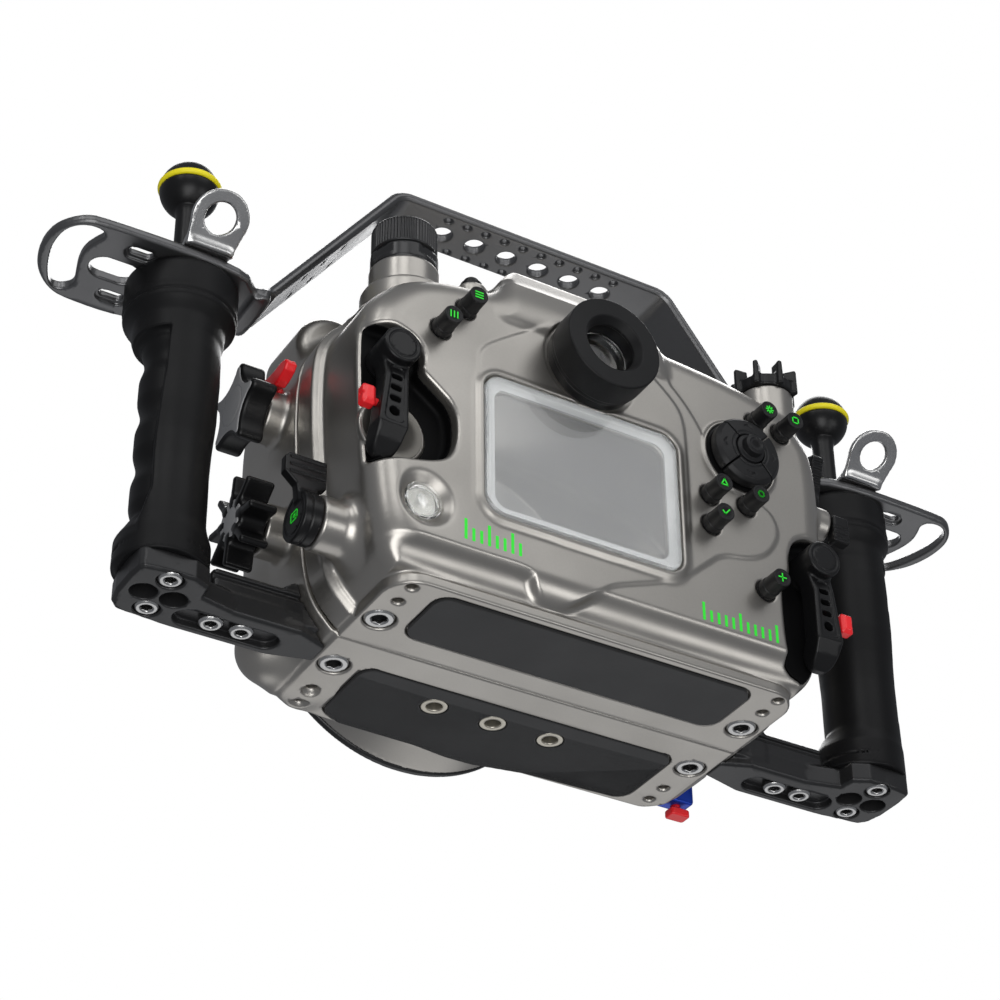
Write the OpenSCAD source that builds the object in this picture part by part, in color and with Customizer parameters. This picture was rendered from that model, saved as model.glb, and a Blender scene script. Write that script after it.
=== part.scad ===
// Underwater camera housing: two shell halves, grips, bridge and every control.
// The display side faces -Y, the lens port faces +Y, Z is up.
// All sizes are millimetres. The origin is the ground point under the front pad.

/* [Shell] */
// Y position of the seam between the two halves
seam_y = -20; // [-40:1:0]
// height of the metal underside above the ground
plate_z = 0.6; // [0.2:0.1:2]
// gap between the two closed halves
seam_gap = 0.2; // [0.1:0.1:1]
// wall thickness of the halves
wall = 9; // [6:0.5:12]
// thickness of the rear wall behind the display
rear_wall = 6; // [5.5:0.5:8]
// depth of the rim that the rear half carries behind the seam
rim_depth = 16; // [8:1:20]
// how far the rear half steps in behind its rim
rear_step = 4; // [1:0.5:6]
// rear face, measured back from the seam
rear_depth = 55; // [52:1:62]
// length over which the rear half rounds off
rear_round = 9; // [6:0.5:12]
// front wall, measured forward from the seam
front_depth = 60; // [56:1:70]
// length over which the front half rounds off
front_round = 16; // [10:1:24]
// thickness of the front wall
front_wall = 8; // [5:0.5:12]
// half width of the bottom plate
base_half_w = 91.7; // [90:0.1:94]
// thickness of the bottom plate
base_t = 5; // [4:0.5:8]

/* [Lens port] */
// sideways place of the lens axis
port_x = -9; // [-14:1:0]
// height of the lens axis over the bottom plate
port_z = 82; // [78:1:88]
// radius of the bore that takes a lens port
port_bore_r = 60; // [50:1:62]
// length of the port neck in front of the wall
port_neck = 38; // [20:1:50]
// outer radius of the port neck
port_neck_r = 66; // [65:0.5:68]
// radius of the black rim on the neck
port_rim_r = 69.2; // [68:0.1:75]
// thickness of the black rim
port_rim_t = 4; // [2:0.5:8]

/* [Display window] */
// left edge of the window pane
pane_left = -58.8; // [-62:0.1:-54]
// right edge of the window pane
pane_right = 30.9; // [26:0.1:33]
// low edge of the window pane
pane_low = 35.6; // [33:0.1:42]
// high edge of the window pane
pane_high = 101.8; // [92:0.1:102]
// corner radius of the pane
pane_r = 8; // [6:0.5:12]
// thickness of the pane
pane_t = 4.8; // [4:0.1:6]
// width of the ledge that the pane rests on
pane_ledge = 5; // [3:0.5:8]
// how far the raised field stands over the rear face
field_h = 0.6; // [0.3:0.1:1]

/* [Eyepiece] */
// height of the eyepiece over the bottom plate
eye_z = 123.4; // [123:0.1:128]
// outer radius of the rubber cup
cup_r = 21.5; // [19:0.1:22]
// length of the rubber cup
cup_len = 14.9; // [10:0.1:20]

/* [Controls] */
// radius of a push button
button_r = 4.05; // [3:0.05:5]
// length of a push button behind the rear face
button_out = 11.5; // [8:0.5:16]
// radius of a push button's stem
stem_r = 2; // [1.5:0.1:2.5]
// radial room round everything that turns or slides in a bore
run_gap = 0.05; // [0.02:0.01:0.1]
// radius of the four way pad
pad_r = 16; // [13:0.5:17]
// radius of a control shaft
shaft_r = 3; // [2:0.5:4]
// length of a latch lever below its pivot
latch_len = 47; // [44:1:52]
// radius of the latch pivot disc
latch_r = 8; // [7:0.5:9]
// radius of the latch shaft
latch_shaft_r = 4; // [3:0.5:5]
// radius of the lobed knob
lobed_r = 19.5; // [17:0.5:21]
// radius of the star knob
star_r = 19.5; // [17:0.5:21]

/* [Grips and bridge] */
// sideways place of the grip axes
grip_x = 162.4; // [158:0.1:168]
// grip axis, measured forward from the seam
grip_y = 8; // [6:0.5:10]
// radius of the flange at the top of a grip
grip_flange_r = 23; // [20:0.5:24]
// radius of the grip at its lower end
grip_r = 16.2; // [14:0.1:18]
// underside of the bridge's end plates over the bottom plate
deck_z = 147; // [142:0.5:150]
// thickness of the bridge bar
bar_t = 4.5; // [3:0.5:6]
// underside of the bridge's top span over the bottom plate
span_z = 230; // [215:1:245]
// radius of the ball on a ball mount, for one inch clamps
ball_r = 12.7; // [12:0.1:13]
// height of the ball centre over the bottom plate
ball_z = 201.2; // [190:0.1:210]

/* [Hidden] */
$fn = 48;
// faces and depths along Y, from the seam
rear_face = -rear_depth;
rear_in = rear_face + rear_wall;
rear_edge = rear_face + rear_round;
front_edge = front_depth - front_round;
rear_taper = 8;
front_taper = 8;
port_end = front_depth + port_neck;
field_face = rear_face - field_h;
finder_face = field_face - 0.4;
pane_in = rear_face + 2;
pane_out = pane_in - pane_t;
seal_t = 0.9;
seal_gap = 0.05;
frame_face = pane_out + 0.3;
frame_land = 2;
frame_slope = 2.6;
// room round pieces that stay put
fit_gap = 0.05;
// eyepiece
eye_x = port_x;
eye_flange_t = 4;
eye_flange_r = 20.5;
cup_base = finder_face - fit_gap - eye_flange_t;
cup_end = cup_base - fit_gap - cup_len;
// latch wells: floor, and room kept behind it
well_floor = rear_face + 9.6;
well_back = 5;
// top controls
tower = [-76, -20];
tower_r = 14.8;
tower_top = 169.5;
lock_ring_h = 8.4;
valve_cap_h = 13.4;
valve_r = 9;
crown = [93.8, -36.9];
crown_top = 157.9;
crown_stub_r = 12;
plug = [-53, -36];
plug_top = 160;
// push buttons, as X, Z and the face they stand on
buttons = [[-66.8, 130.6, field_face], [-78.2, 116.3, field_face], [72.9, 126.2, rear_face],
    [86, 125.4, rear_face], [47, 80.1, field_face], [65.1, 80.5, field_face],
    [46.8, 65.5, field_face], [72.3, 42.4, rear_face]];
button_room = 1.25;
button_travel = 2.2;
pad_at = [63.4, 104.2];
pad_seat = rear_face + 1.5;
key_reach = 11.5;
key_stem_r = 1.5;
key_out = 8.8;
key_travel = 1.5;
centre_r = 6.6;
latch_l = [-98.5, 96];
latch_r_at = [97.5, 62];
lock_drop = 25.5;
lock_in = 1.5;
lock_out = 12;
lock_r = 1.6;
lock_y = rear_face + 0.4;
latch_tilt = 3;
// first slot below the latch's pivot, and the step from slot to slot
arm_slot = 14.2;
arm_slot_pitch = 5.2;
// side controls, as Y and Z
lobed_at = [16.5, 104.7];
star_at = [13.5, 47.5];
thumb_at = [-27.5, 27.6];
focus_at = [-38, 98];
shutter_at = [-27, 117];
release_at = [19, 120.3];
release_t = 5;
// outer face of the lens release: the side wall, room for its hub, and the lever itself
release_wall = 112.9;
release_hub = 2.7;
release_out = release_wall + release_hub + release_t;
cheek_r = 14;
boss_r = 11;
gland_r = 8;
side_in = 98;
lobed_boss_x = 122;
star_boss_x = 121;
thumb_boss_x = 117;
right_boss_x = 117;
knob_gap = 0.5;
lobed_t = 11;
star_t = 12;
release_r = 2.5;
// bottom plate
base_screws_at = [[83, -17.7], [83, 19.5]];
small_holes_at = [[83, -43.3], [83, -32.5], [82.7, 38.9], [82.7, 49.8]];
small_hole_r = 2.1;
screw_r = 4;
pad_t = 1.1;
rear_pad_w = 142;
rear_pad_d = 31;
rear_pad_y = -28.6;
tripod_at = [-7, 27.4];
tripod_pitch = 26.9;
tripod_r = 3.2;
insert_r = 5.55;
insert_h = 6.7;
status_at = [-84, 33.5];
status_r = 8.2;
status_bowl_r = 12.2;
tray_at = [port_x, 4];
// lower end of the tray screw, above the groove of the main seal
screw_low = 6.6;
// feet and grips
foot_t = 9.95;
foot_screws_at = [[grip_x + 0.1, grip_y - 11], [grip_x + 0.1, grip_y + 10.5], [136.7, 17.1], [123.9, 17.1]];
foot_screw_r = 2.5;
// plain holes in the underside of a foot
foot_hole_r = 5.3;
grip_low = foot_t + fit_gap;
grip_high = deck_z - fit_gap;
palm_at = [1.6, -3.3];
groove_z = 27;
groove_pitch = 25;
groove_r = 12.8;
groove_at = 24.8;
// the grooves face outward and forward, this far round from X, and start this far from the palm's axis
groove_turn = 31;
groove_edge = 2.5;
post_x = 161.6;
post_y = grip_y + 1.7;
post_r = 3;
bracket_t = 2.3;
hook_fold_y = -16;
hook_tilt = 48;
hook_r = 12;
hook_eye_r = 6.6;
hook_reach = 12.6;
ring_groove = 0.7;
ring_z = 1.0;
// bridge
bar_y0 = -3.5;
bar_y1 = 22.7;
bar_foot_x = 133.5;
bar_top_x = 69.5;
span_pitch = 16.4;
small_pitch = 9.5;
thread_r = 4.2;
thread_y = 10.4;
// half outline of the shell at the seam, in X and Z
rim_side = [[base_half_w + 0.3, 0], [96.8, 4.6], [102.5, 11], [106.3, 20], [109, 38], [112.2, 72],
    [113.5, 97],
            [112.9, 118], [109.4, 128.5], [101, 139], [90, 147.5], [72, 153], [40, 156.5], [0, 158]];

// Moves drawings made about the seam and the bottom plate into place.
module home() translate([0, seam_y, plate_z]) children();

// Extrudes a drawing in X and Z from y0 to y1.
module slab(y0, y1) translate([0, y1, 0]) rotate([90, 0, 0]) linear_extrude(height = y1 - y0) children();

// Rods along X, Y and Z.
module xrod(x0, x1, y, z, r) translate([min(x0, x1), y, z]) rotate([0, 90, 0])
    cylinder(h = abs(x1 - x0), r = r);
module yrod(y0, y1, x, z, r) translate([x, y0, z]) rotate([-90, 0, 0]) cylinder(h = y1 - y0, r = r);
module zrod(z0, z1, at, r) translate([at[0], at[1], z0]) cylinder(h = z1 - z0, r = r);

// Rounded rectangle from its corners.
module rrect(x0, z0, x1, z1, r) translate([x0 + r, z0 + r]) offset(r = r)
    square([x1 - x0 - 2 * r, z1 - z0 - 2 * r]);

// The window pane's outline, grown by d.
module pane2d(d = 0) rrect(pane_left - d, pane_low - d, pane_right + d, pane_high + d, pane_r + d / 2);

// Rounded slot along X.
module slot2d(len, r) offset(r = r) square([len - 2 * r, 0.2], center = true);

// Outline of the shell at the seam, grown by d.
module rim2d(d = 0)
    offset(delta = d) polygon(concat(rim_side, [for (i = [len(rim_side) - 2:-1:0]) [-rim_side[i][0],
        rim_side[i][1]]]));

// Hex socket cap screw, its head's outer face at the origin and its shank along +Z.
module cap_screw(head_r, head_h, shank, shank_r, hex_r)
    difference() {
        union() {
            cylinder(h = head_h, r = head_r);
            cylinder(h = head_h + shank, r = shank_r);
        }
        translate([0, 0, -1]) cylinder(h = 1 + head_h * 0.6, r = hex_r, $fn = 6);
    }

// Bottom plate outlines in X and Y.
module plate_rear2d() {
    translate([-base_half_w + 14, -34.5]) offset(r = 14) square([2 * base_half_w - 28, 20]);
    translate([-base_half_w, -20]) square([2 * base_half_w, 20 - seam_gap / 2]);
}
module plate_front2d()
    polygon([[-base_half_w, seam_gap / 2], [base_half_w, seam_gap / 2], [base_half_w, 44], [86, 54],
        [76, 58],
             [10, 60.5], [-30, 59.5], [-74, 57.5], [-86, 54], [-base_half_w, 46]]);

// The front pad's outline in X and Y, with its wavy front edge.
module front_pad2d(grow = 0)
    offset(delta = grow) offset(r = 6) offset(delta = -6)
        polygon([[-70.5, 15], [70.5, 15], [70.5, 52], [18, 53], [-18, 56], [-36, 55], [-70.5, 52.5]]);

// Outlines of the latch wells in X and Z.
module well_left2d()
    polygon([[-126, 110], [-104, 111.6], [-97, 111.6], [-87, 107], [-84.5, 99], [-86.5, 93], [-80, 88],
        [-71.5, 81],
             [-70, 70], [-71.5, 60.5], [-76, 54], [-88, 50.2], [-104, 47.6], [-126, 45.6]]);
module well_right2d()
    polygon([[126, 79], [98, 77.5], [89, 73], [85.6, 64], [86, 55], [81.5, 49], [80.8, 40], [81, 20],
        [84, 8.5],
             [126, 6]]);

// The raised field of the rear face, with its wavy lower edge.
module field2d() intersection() {
    union() {
        rim2d(-rear_step - rear_taper);
        translate([0, -7]) rim2d(-rear_step - rear_taper);
    }
    offset(r = 2) offset(delta = -2)
        polygon([[27, 134], [38, 123], [46, 110], [50.7, 96.8], [58, 90], [74, 84], [79, 80], [81, 72],
            [76, 62.3],
                 [70.5, 57.6], [63, 54.6], [51.6, 52.8], [43, 45], [35, 37.5], [22, 29.8], [0, 21.6],
                     [-6, 17.5],
                 [-16.7, 8.6], [-23.5, 5.4], [-31, 5.7], [-35.5, 11], [-37.4, 17], [-60.6, 16.4], [-86,
                     16.8],
                 [-120, 14], [-120, 170], [27, 170]]);
}

// The flat pad round the display and the finder.
module finder2d()
    offset(r = 6) offset(delta = -6)
        polygon([[-61.6, 32], [-61.6, 108], [-60, 113.3], [-55.5, 118.6], [-30, 137], [-22, 141], [8,
            141], [22.5, 130],
                 [30.5, 122.6], [35, 116.6], [36.8, 104.5], [36, 32]]);

// Front half

module front_shell() color([0.62, 0.6, 0.56]) home() difference() {
    union() {
        slab(seam_gap / 2, front_edge) rim2d(0);
        hull() {
            slab(front_edge - 0.5, front_edge) rim2d(0);
            slab(front_depth - 7, front_depth - 6.5) rim2d(-1.5);
            slab(front_depth - 0.5, front_depth) rim2d(-front_taper);
        }
        yrod(front_depth - 4, port_end, port_x, port_z, port_neck_r);
        linear_extrude(height = base_t) plate_front2d();
        // full lower left corner in front of the foot
        hull() {
            for (c = [[-99.4, 43, 14.2], [-98.6, 43, 36], [-84, 45, 14.2]])
                translate(c) sphere(r = cheek_r);
        }
        // bosses of the two side knobs and the seat of the port lock
        for (k = [[lobed_boss_x, lobed_at], [star_boss_x, star_at]])
            xrod(-k[0], -side_in, k[1][0], k[1][1], boss_r);
        translate([90, 40, 11]) cube([15, front_depth - 0.1 - 40, 11]);
    }
    // camera room, then the port bore
    slab(-1, front_depth - front_wall) rim2d(-wall);
    yrod(front_depth - front_wall - 4, port_end + 1, port_x, port_z, port_bore_r);
    // groove of the main seal
    slab(-1, 2.8) difference() { rim2d(-2.6); rim2d(-6); }
    // control shafts through the left wall
    for (p = [lobed_at, star_at]) xrod(-130, -90, p[0], p[1], gland_r);
    xrod(-release_wall - 5, -side_in, release_at[0], release_at[1], release_r + run_gap);
    // tripod inserts, plate screws and small threaded holes
    for (k = [-1:1]) zrod(-1, insert_h - 0.2, tripod_at + [k * tripod_pitch, 0], insert_r + fit_gap);
    translate([0, 0, -1]) linear_extrude(height = 1 + pad_t + 0.1) front_pad2d(0.5);
    for (s = [-1, 1]) {
        plate_screw_seat([s * base_screws_at[1][0], base_screws_at[1][1]]);
        for (k = [2, 3]) zrod(-1, 6, [s * small_holes_at[k][0], small_holes_at[k][1]], small_hole_r);
    }
    zrod(screw_low - 0.2, wall + 3, tray_at, 2.5);
}

// Counterbore and bore of one plate screw.
module plate_screw_seat(at) {
    zrod(-1, 4.6, at, 6.6);
    zrod(-1, 8, at, screw_r + 0.02);
}

module front_pad() color([0.16, 0.16, 0.16]) home() difference() {
    translate([0, 0, -plate_z]) linear_extrude(height = plate_z + pad_t) front_pad2d(0);
    for (k = [-1:1]) zrod(-2, 4, tripod_at + [k * tripod_pitch, 0], insert_r + 0.5);
}

module tripod_inserts() color([0.72, 0.68, 0.6]) home()
    for (k = [-1:1]) difference() {
        zrod(-0.4, insert_h - 0.4, tripod_at + [k * tripod_pitch, 0], insert_r);
        zrod(-1, insert_h + 1, tripod_at + [k * tripod_pitch, 0], tripod_r);
    }

module base_screws_front() color([0.75, 0.75, 0.76]) home()
    for (s = [-1, 1]) translate([s * base_screws_at[1][0], base_screws_at[1][1], 0.2])
        cap_screw(6.2, 4.2, 3, screw_r, 3.3);

module main_oring() color([0.08, 0.08, 0.08]) home()
    slab(seam_gap / 2 + 0.02, 2.7) difference() { rim2d(-2.8); rim2d(-5.8); }

module port_ring() color([0.07, 0.07, 0.07]) home() difference() {
    yrod(port_end + fit_gap, port_end + fit_gap + port_rim_t, port_x, port_z, port_rim_r);
    yrod(port_end - 1, port_end + port_rim_t + 2, port_x, port_z, port_bore_r + 1.5);
    for (a = [90, 210, 330]) translate([port_x, port_end + port_rim_t / 2, port_z]) rotate([0, a, 0])
        translate([port_bore_r - 3, -port_rim_t, -8]) cube([8, 2 * port_rim_t, 16]);
}

module port_lock_base() color([0.07, 0.2, 0.7]) home() difference() {
    translate([98, front_depth, 10]) cube([15, 9, 12]);
    zrod(5, 24, [106.5, front_depth + 5], 2 + run_gap);
}

module port_lock_button() color([0.8, 0.05, 0.07]) home() {
    translate([102, front_depth + 1, 4.2]) cube([9.4, 6.6, 3.6]);
    zrod(6, 20, [106.5, front_depth + 5], 2);
}

// Bushes that seal the shafts of the two side knobs.
module knob_glands() color([0.07, 0.07, 0.07]) home() difference() {
    for (k = [[lobed_boss_x, lobed_at], [star_boss_x, star_at]])
        xrod(-k[0] + 0.3, -side_in - 1, k[1][0], k[1][1], gland_r - fit_gap);
    for (p = [lobed_at, star_at]) xrod(-130, -90, p[0], p[1], shaft_r + run_gap);
}

module lobed_knob() color([0.2, 0.2, 0.2]) home() {
    translate([-lobed_boss_x - knob_gap - lobed_t, lobed_at[0], lobed_at[1]]) rotate([0, 90, 0])
        linear_extrude(height = lobed_t) offset(r = 2) offset(delta = -2) difference() {
            circle(r = lobed_r);
            for (k = [0:4]) rotate(k * 72 + 16) translate([lobed_r + 5.5, 0]) circle(r = 12.5);
        }
    xrod(-lobed_boss_x - knob_gap - 1, -side_in + 2, lobed_at[0], lobed_at[1], shaft_r);
}

module star_knob() color([0.12, 0.12, 0.12]) home() {
    xrod(-star_boss_x - knob_gap - star_t + 1, -star_boss_x - knob_gap, star_at[0], star_at[1], 10);
    for (k = [0:7]) translate([0, star_at[0], star_at[1]]) rotate([k * 45 + 8, 0, 0])
        translate([-star_boss_x - knob_gap - star_t, -1.5, 6]) rotate([90, 0, 90])
            linear_extrude(height = star_t)
            offset(r = 1.4) offset(delta = -1.4) square([3, star_r - 6]);
    xrod(-star_boss_x - knob_gap - 1, -side_in + 6, star_at[0], star_at[1], shaft_r);
}

// Gear wheel inside the housing that passes the star knob's turn to the camera's own dial.
module star_gear() color([0.85, 0.85, 0.8]) home() difference() {
    translate([-side_in + 2, star_at[0], star_at[1]]) rotate([0, 90, 0]) linear_extrude(height = 4)
        union() {
        circle(r = 8);
        for (k = [0:17]) rotate(k * 20) translate([7, -0.8]) square([2.4, 1.6]);
    }
    xrod(-side_in, -side_in + 8, star_at[0], star_at[1], shaft_r + 0.01);
}

module lens_release() color([0.8, 0.05, 0.07]) home() {
    xrod(0.6 - release_out, -side_in + 1, release_at[0], release_at[1], release_r);
    xrod(-release_out, -release_wall - 1.1, release_at[0], release_at[1], 3.8);
    translate([-release_out, release_at[0], release_at[1]]) rotate([90, 0, 90])
        linear_extrude(height = release_t)
        polygon([[2, 3.4], [-9, 0.7], [-22, 1.4], [-24.8, -3.9], [-14.5, -7.8], [-10.5, -5.6], [-4,
            -3.6], [2, -3.3]]);
}

module tray() color([0.1, 0.1, 0.11]) home() difference() {
    union() {
        translate([-60, -14, wall + fit_gap]) cube([128, 56, 3.5]);
        translate([-60, -14, wall + fit_gap]) cube([4, 56, 9]);
    }
    zrod(0, 30, tray_at, 3.3);
    for (x = [-35, 45]) translate([x, 10, 0]) linear_extrude(height = 30) rrect(-12, -8, 12, 8, 4);
}

module tray_screw() color([0.75, 0.75, 0.76]) home() {
    zrod(wall + 3.6, wall + 7.6, tray_at, 7);
    zrod(screw_low, wall + 4, tray_at, 2.48);
    zrod(wall + 7, wall + 13, tray_at, tripod_r - 0.1);
}

// Grips, feet and bridge

module grip(s) color([0.06, 0.06, 0.06]) home() translate([s * grip_x, grip_y, 0]) difference() {
    union() {
        // palm swell and the neck under the flange, then the finger grooves
        difference() {
            translate([s * palm_at[0], palm_at[1], grip_low]) rotate_extrude()
                polygon([[0, 0], [grip_r, 0], [grip_r, 30], [grip_r - 0.1, 42], [grip_r + 0.3, 54],
                    [grip_r + 1.3, 68],
                         [grip_r + 1.7, 86], [grip_r + 1.6, 96], [grip_r + 1, 105], [grip_r, 112],
                             [grip_r, 117], [0, 117]]);
            for (k = [0:3]) intersection() {
                translate([s * palm_at[0], palm_at[1], groove_z + k * groove_pitch]) rotate_extrude()
                    translate([groove_at, 0]) circle(r = groove_r);
                translate([s * palm_at[0], palm_at[1], 0]) rotate([0, 0, 90 - s * (90 - groove_turn)])
                    translate([groove_edge, -60, 0]) cube([60, 120, 140]);
            }
        }
        translate([0, 0, grip_low]) rotate_extrude()
            polygon([[0, 0], [18.5, 0], [18.5, 11], [17.5, 13], [15, 17], [0, 17]]);
        translate([0, 0, grip_high]) rotate_extrude()
            polygon([[0, -30], [16.5, -29], [17.6, -24.5], [21, -21], [22.6, -19.5], [22.8, -18],
                [22.2, -17.4],
                     [22.2, -16.8], [grip_flange_r, -16], [grip_flange_r, -2], [grip_flange_r - 1.5,
                         0], [0, 0]]);
    }
    translate([s * (post_x - grip_x), post_y - grip_y, deck_z - 14]) cylinder(h = 30, r = post_r + fit_gap);
    for (k = [0:1]) translate([s * (foot_screws_at[k][0] - grip_x), foot_screws_at[k][1] - grip_y, 0])
        cylinder(h = 26, r = foot_screw_r + 0.02);
}
module grip_left() grip(-1);
module grip_right() grip(1);

module foot(s) color([0.07, 0.07, 0.07]) home() mirror([s < 0 ? 1 : 0, 0, 0]) difference() {
    union() {
        linear_extrude(height = foot_t) offset(r = 3) offset(delta = -3)
            polygon([[90, 5], [grip_x - 16, 5], [grip_x - 14, grip_y - 17], [grip_x + 11.6, grip_y - 17],
                     [grip_x + 15.1, grip_y - 13], [grip_x + 15.1, grip_y + 11], [grip_x + 8.6,
                         grip_y + 18.5],
                     [90, grip_y + 18.5]]);
        translate([90, 5, foot_t - 0.5]) cube([52, grip_y + 11.5, 9.5]);
        translate([90, 5, 4]) cube([22, grip_y + 11.5, 18]);
    }
    // slot that holds the two clamp screws, then the grip screws
    translate([130.3, foot_screws_at[2][1], -1]) linear_extrude(height = 4.4) slot2d(43.5, 5.6);
    for (k = [0:1]) {
        zrod(-1, 4.4, foot_screws_at[k], 5.2);
        zrod(-1, 30, foot_screws_at[k], foot_screw_r + 0.1);
    }
    for (k = [2:3]) zrod(-1, 13, foot_screws_at[k], foot_screw_r + 0.02);
    for (x = [-6.3, 6]) zrod(-1, 8, [grip_x + x, grip_y], foot_hole_r);
    translate([85, 2, 14]) cube([60, 4.5, 2.2]);
    slab(-40, 80) rim2d(fit_gap);
    translate([80, -10, -1]) cube([base_half_w + fit_gap - 80, 60, 30]);
}
module foot_left() foot(-1);
module foot_right() foot(1);

module foot_screws() color([0.75, 0.75, 0.76]) home()
    for (s = [-1, 1]) {
        for (k = [0:1]) translate([s * foot_screws_at[k][0], foot_screws_at[k][1], 0.2])
            cap_screw(4.9, 4.1, 18, foot_screw_r, 2.4);
        for (k = [2:3]) translate([s * foot_screws_at[k][0], foot_screws_at[k][1], 0.2])
            cap_screw(4.9, 3.1, 8, foot_screw_r, 2.4);
    }

// Bridge bar in X and Z: a trapezium ring whose foot is cut away.
module bar_outer2d()
    polygon([[-bar_foot_x, deck_z - 14], [-bar_foot_x, deck_z + 1], [-bar_top_x, span_z + bar_t],
             [bar_top_x, span_z + bar_t], [bar_foot_x, deck_z + 1], [bar_foot_x, deck_z - 14]]);
module bar2d() difference() {
    offset(r = 13) offset(delta = -13) bar_outer2d();
    offset(r = 9) offset(delta = -9) offset(delta = -bar_t) bar_outer2d();
    translate([-bar_foot_x + bar_t, deck_z - 20]) square([2 * (bar_foot_x - bar_t), 20 + bar_t]);
}

module bridge() color([0.08, 0.08, 0.085]) home() difference() {
    union() {
        intersection() {
            slab(bar_y0, bar_y1) bar2d();
            translate([-200, -20, deck_z]) cube([400, 60, 120]);
        }
        for (s = [-1, 1]) translate([0, 0, deck_z]) linear_extrude(height = bar_t) offset(r = 4)
            offset(delta = -4)
            polygon([[s * (bar_foot_x - bar_t), bar_y0], [s * (bar_foot_x + 2), bar_y0], [s * 144,
                -14], [s * 206, -14],
                     [s * 214, -11.4], [s * 221, -2.6], [s * 222.5, 7.4], [s * 221, 18], [s * 217, 27],
                         [s * 210, 34.5],
                     [s * 202, 37.5], [s * 176, 37.5], [s * 168, 31], [s * 150, 31], [s * 141, bar_y1],
                     [s * (bar_foot_x - bar_t), bar_y1]]);
    }
    // accessory threads along the top span
    for (k = [0:5]) zrod(span_z - 5, span_z + 15, [(k - 2.5) * span_pitch, thread_y], thread_r);
    for (k = [0:9], y = [1.1, 19.8]) zrod(span_z - 5, span_z + 15, [(k - 4.5) * small_pitch, y], 1.65);
    for (s = [-1, 1]) {
        // lightening holes of the risers
        for (k = [0:2], y = [3, 16.5]) translate([s * (115 - k * 9), y, deck_z + 27 + k * 12.2])
            rotate([0, s * 53, 0]) cylinder(h = 30, r = 1.65, center = true);
        // stud bore, lanyard slots and hand hole of each end plate
        zrod(deck_z - 1, deck_z + 8, [s * post_x, post_y], post_r + 0.1);
        translate([s * 191, 11, deck_z - 1]) linear_extrude(height = 9) slot2d(20.4, 6.4);
        for (y = [-3.1, 27]) translate([s * 185.4, y, deck_z - 1]) {
            linear_extrude(height = 9) slot2d(10, 2.1);
            linear_extrude(height = 2.4) slot2d(13, 3.6);
        }
        translate([0, 0, deck_z - 1]) linear_extrude(height = 9) offset(r = 1.5) offset(delta = -1.5)
            polygon([[s * 205, 32], [s * 201.2, 27.5], [s * 203.5, 20], [s * 205.6, 12.7], [s * 206.2,
                5.5], [s * 204.2, -1],
                     [s * 202, -5.5], [s * 203.5, -9], [s * 208.4, -10], [s * 213.5, -8], [s * 217,
                         -3.5], [s * 218.2, 3],
                     [s * 217.9, 10.4], [s * 215.4, 20.2], [s * 211.4, 29.4], [s * 208.5, 32.3]]);
    }
}

// Lanyard bracket: a base under the ball post, and a leaning tongue with its eye.
module hook_brackets() color([0.72, 0.71, 0.69]) home() for (s = [-1, 1]) difference() {
    translate([s * post_x, hook_fold_y, deck_z + bar_t + fit_gap]) union() {
        translate([-10, 0, 0]) cube([20, 36, bracket_t]);
        rotate([hook_tilt, 0, 0]) slab(0, bracket_t) union() {
            translate([0, hook_reach]) circle(r = hook_r);
            polygon([[-10, 0], [10, 0], [hook_r, hook_reach], [-hook_r, hook_reach]]);
        }
        xrod(-10, 10, bracket_t * 0.6, bracket_t * 0.55, bracket_t * 0.55);
    }
    translate([s * post_x, hook_fold_y, deck_z + bar_t + fit_gap]) rotate([hook_tilt, 0, 0])
        yrod(-5, bracket_t + 5, 0, hook_reach, hook_eye_r);
    zrod(deck_z - 1, deck_z + 12, [s * post_x, post_y], post_r + 0.1);
}

module ball_posts() color([0.05, 0.05, 0.05]) home() for (s = [-1, 1])
    translate([s * post_x, post_y, 0]) difference() {
    union() {
        translate([0, 0, ball_z]) sphere(r = ball_r);
        translate([0, 0, deck_z + bar_t + bracket_t + 2 * fit_gap]) cylinder(h = 3.5, r = 8);
        translate([0, 0, deck_z + bar_t + bracket_t + 3])
            cylinder(h = ball_z - ball_r / 2 - deck_z - bar_t - bracket_t - 3, r = 5.6);
        translate([0, 0, deck_z - 12]) cylinder(h = 30, r = post_r);
    }
    translate([0, 0, ball_z + ring_z]) rotate_extrude() translate([ball_r - ring_groove, 0])
        circle(r = 1.5, $fn = 24);
}

module ball_orings() color([0.95, 0.85, 0.05]) home() for (s = [-1, 1])
    translate([s * post_x, post_y, ball_z + ring_z])
    rotate_extrude() translate([ball_r - ring_groove, 0]) circle(r = 1.45, $fn = 24);

// Rear half

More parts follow.
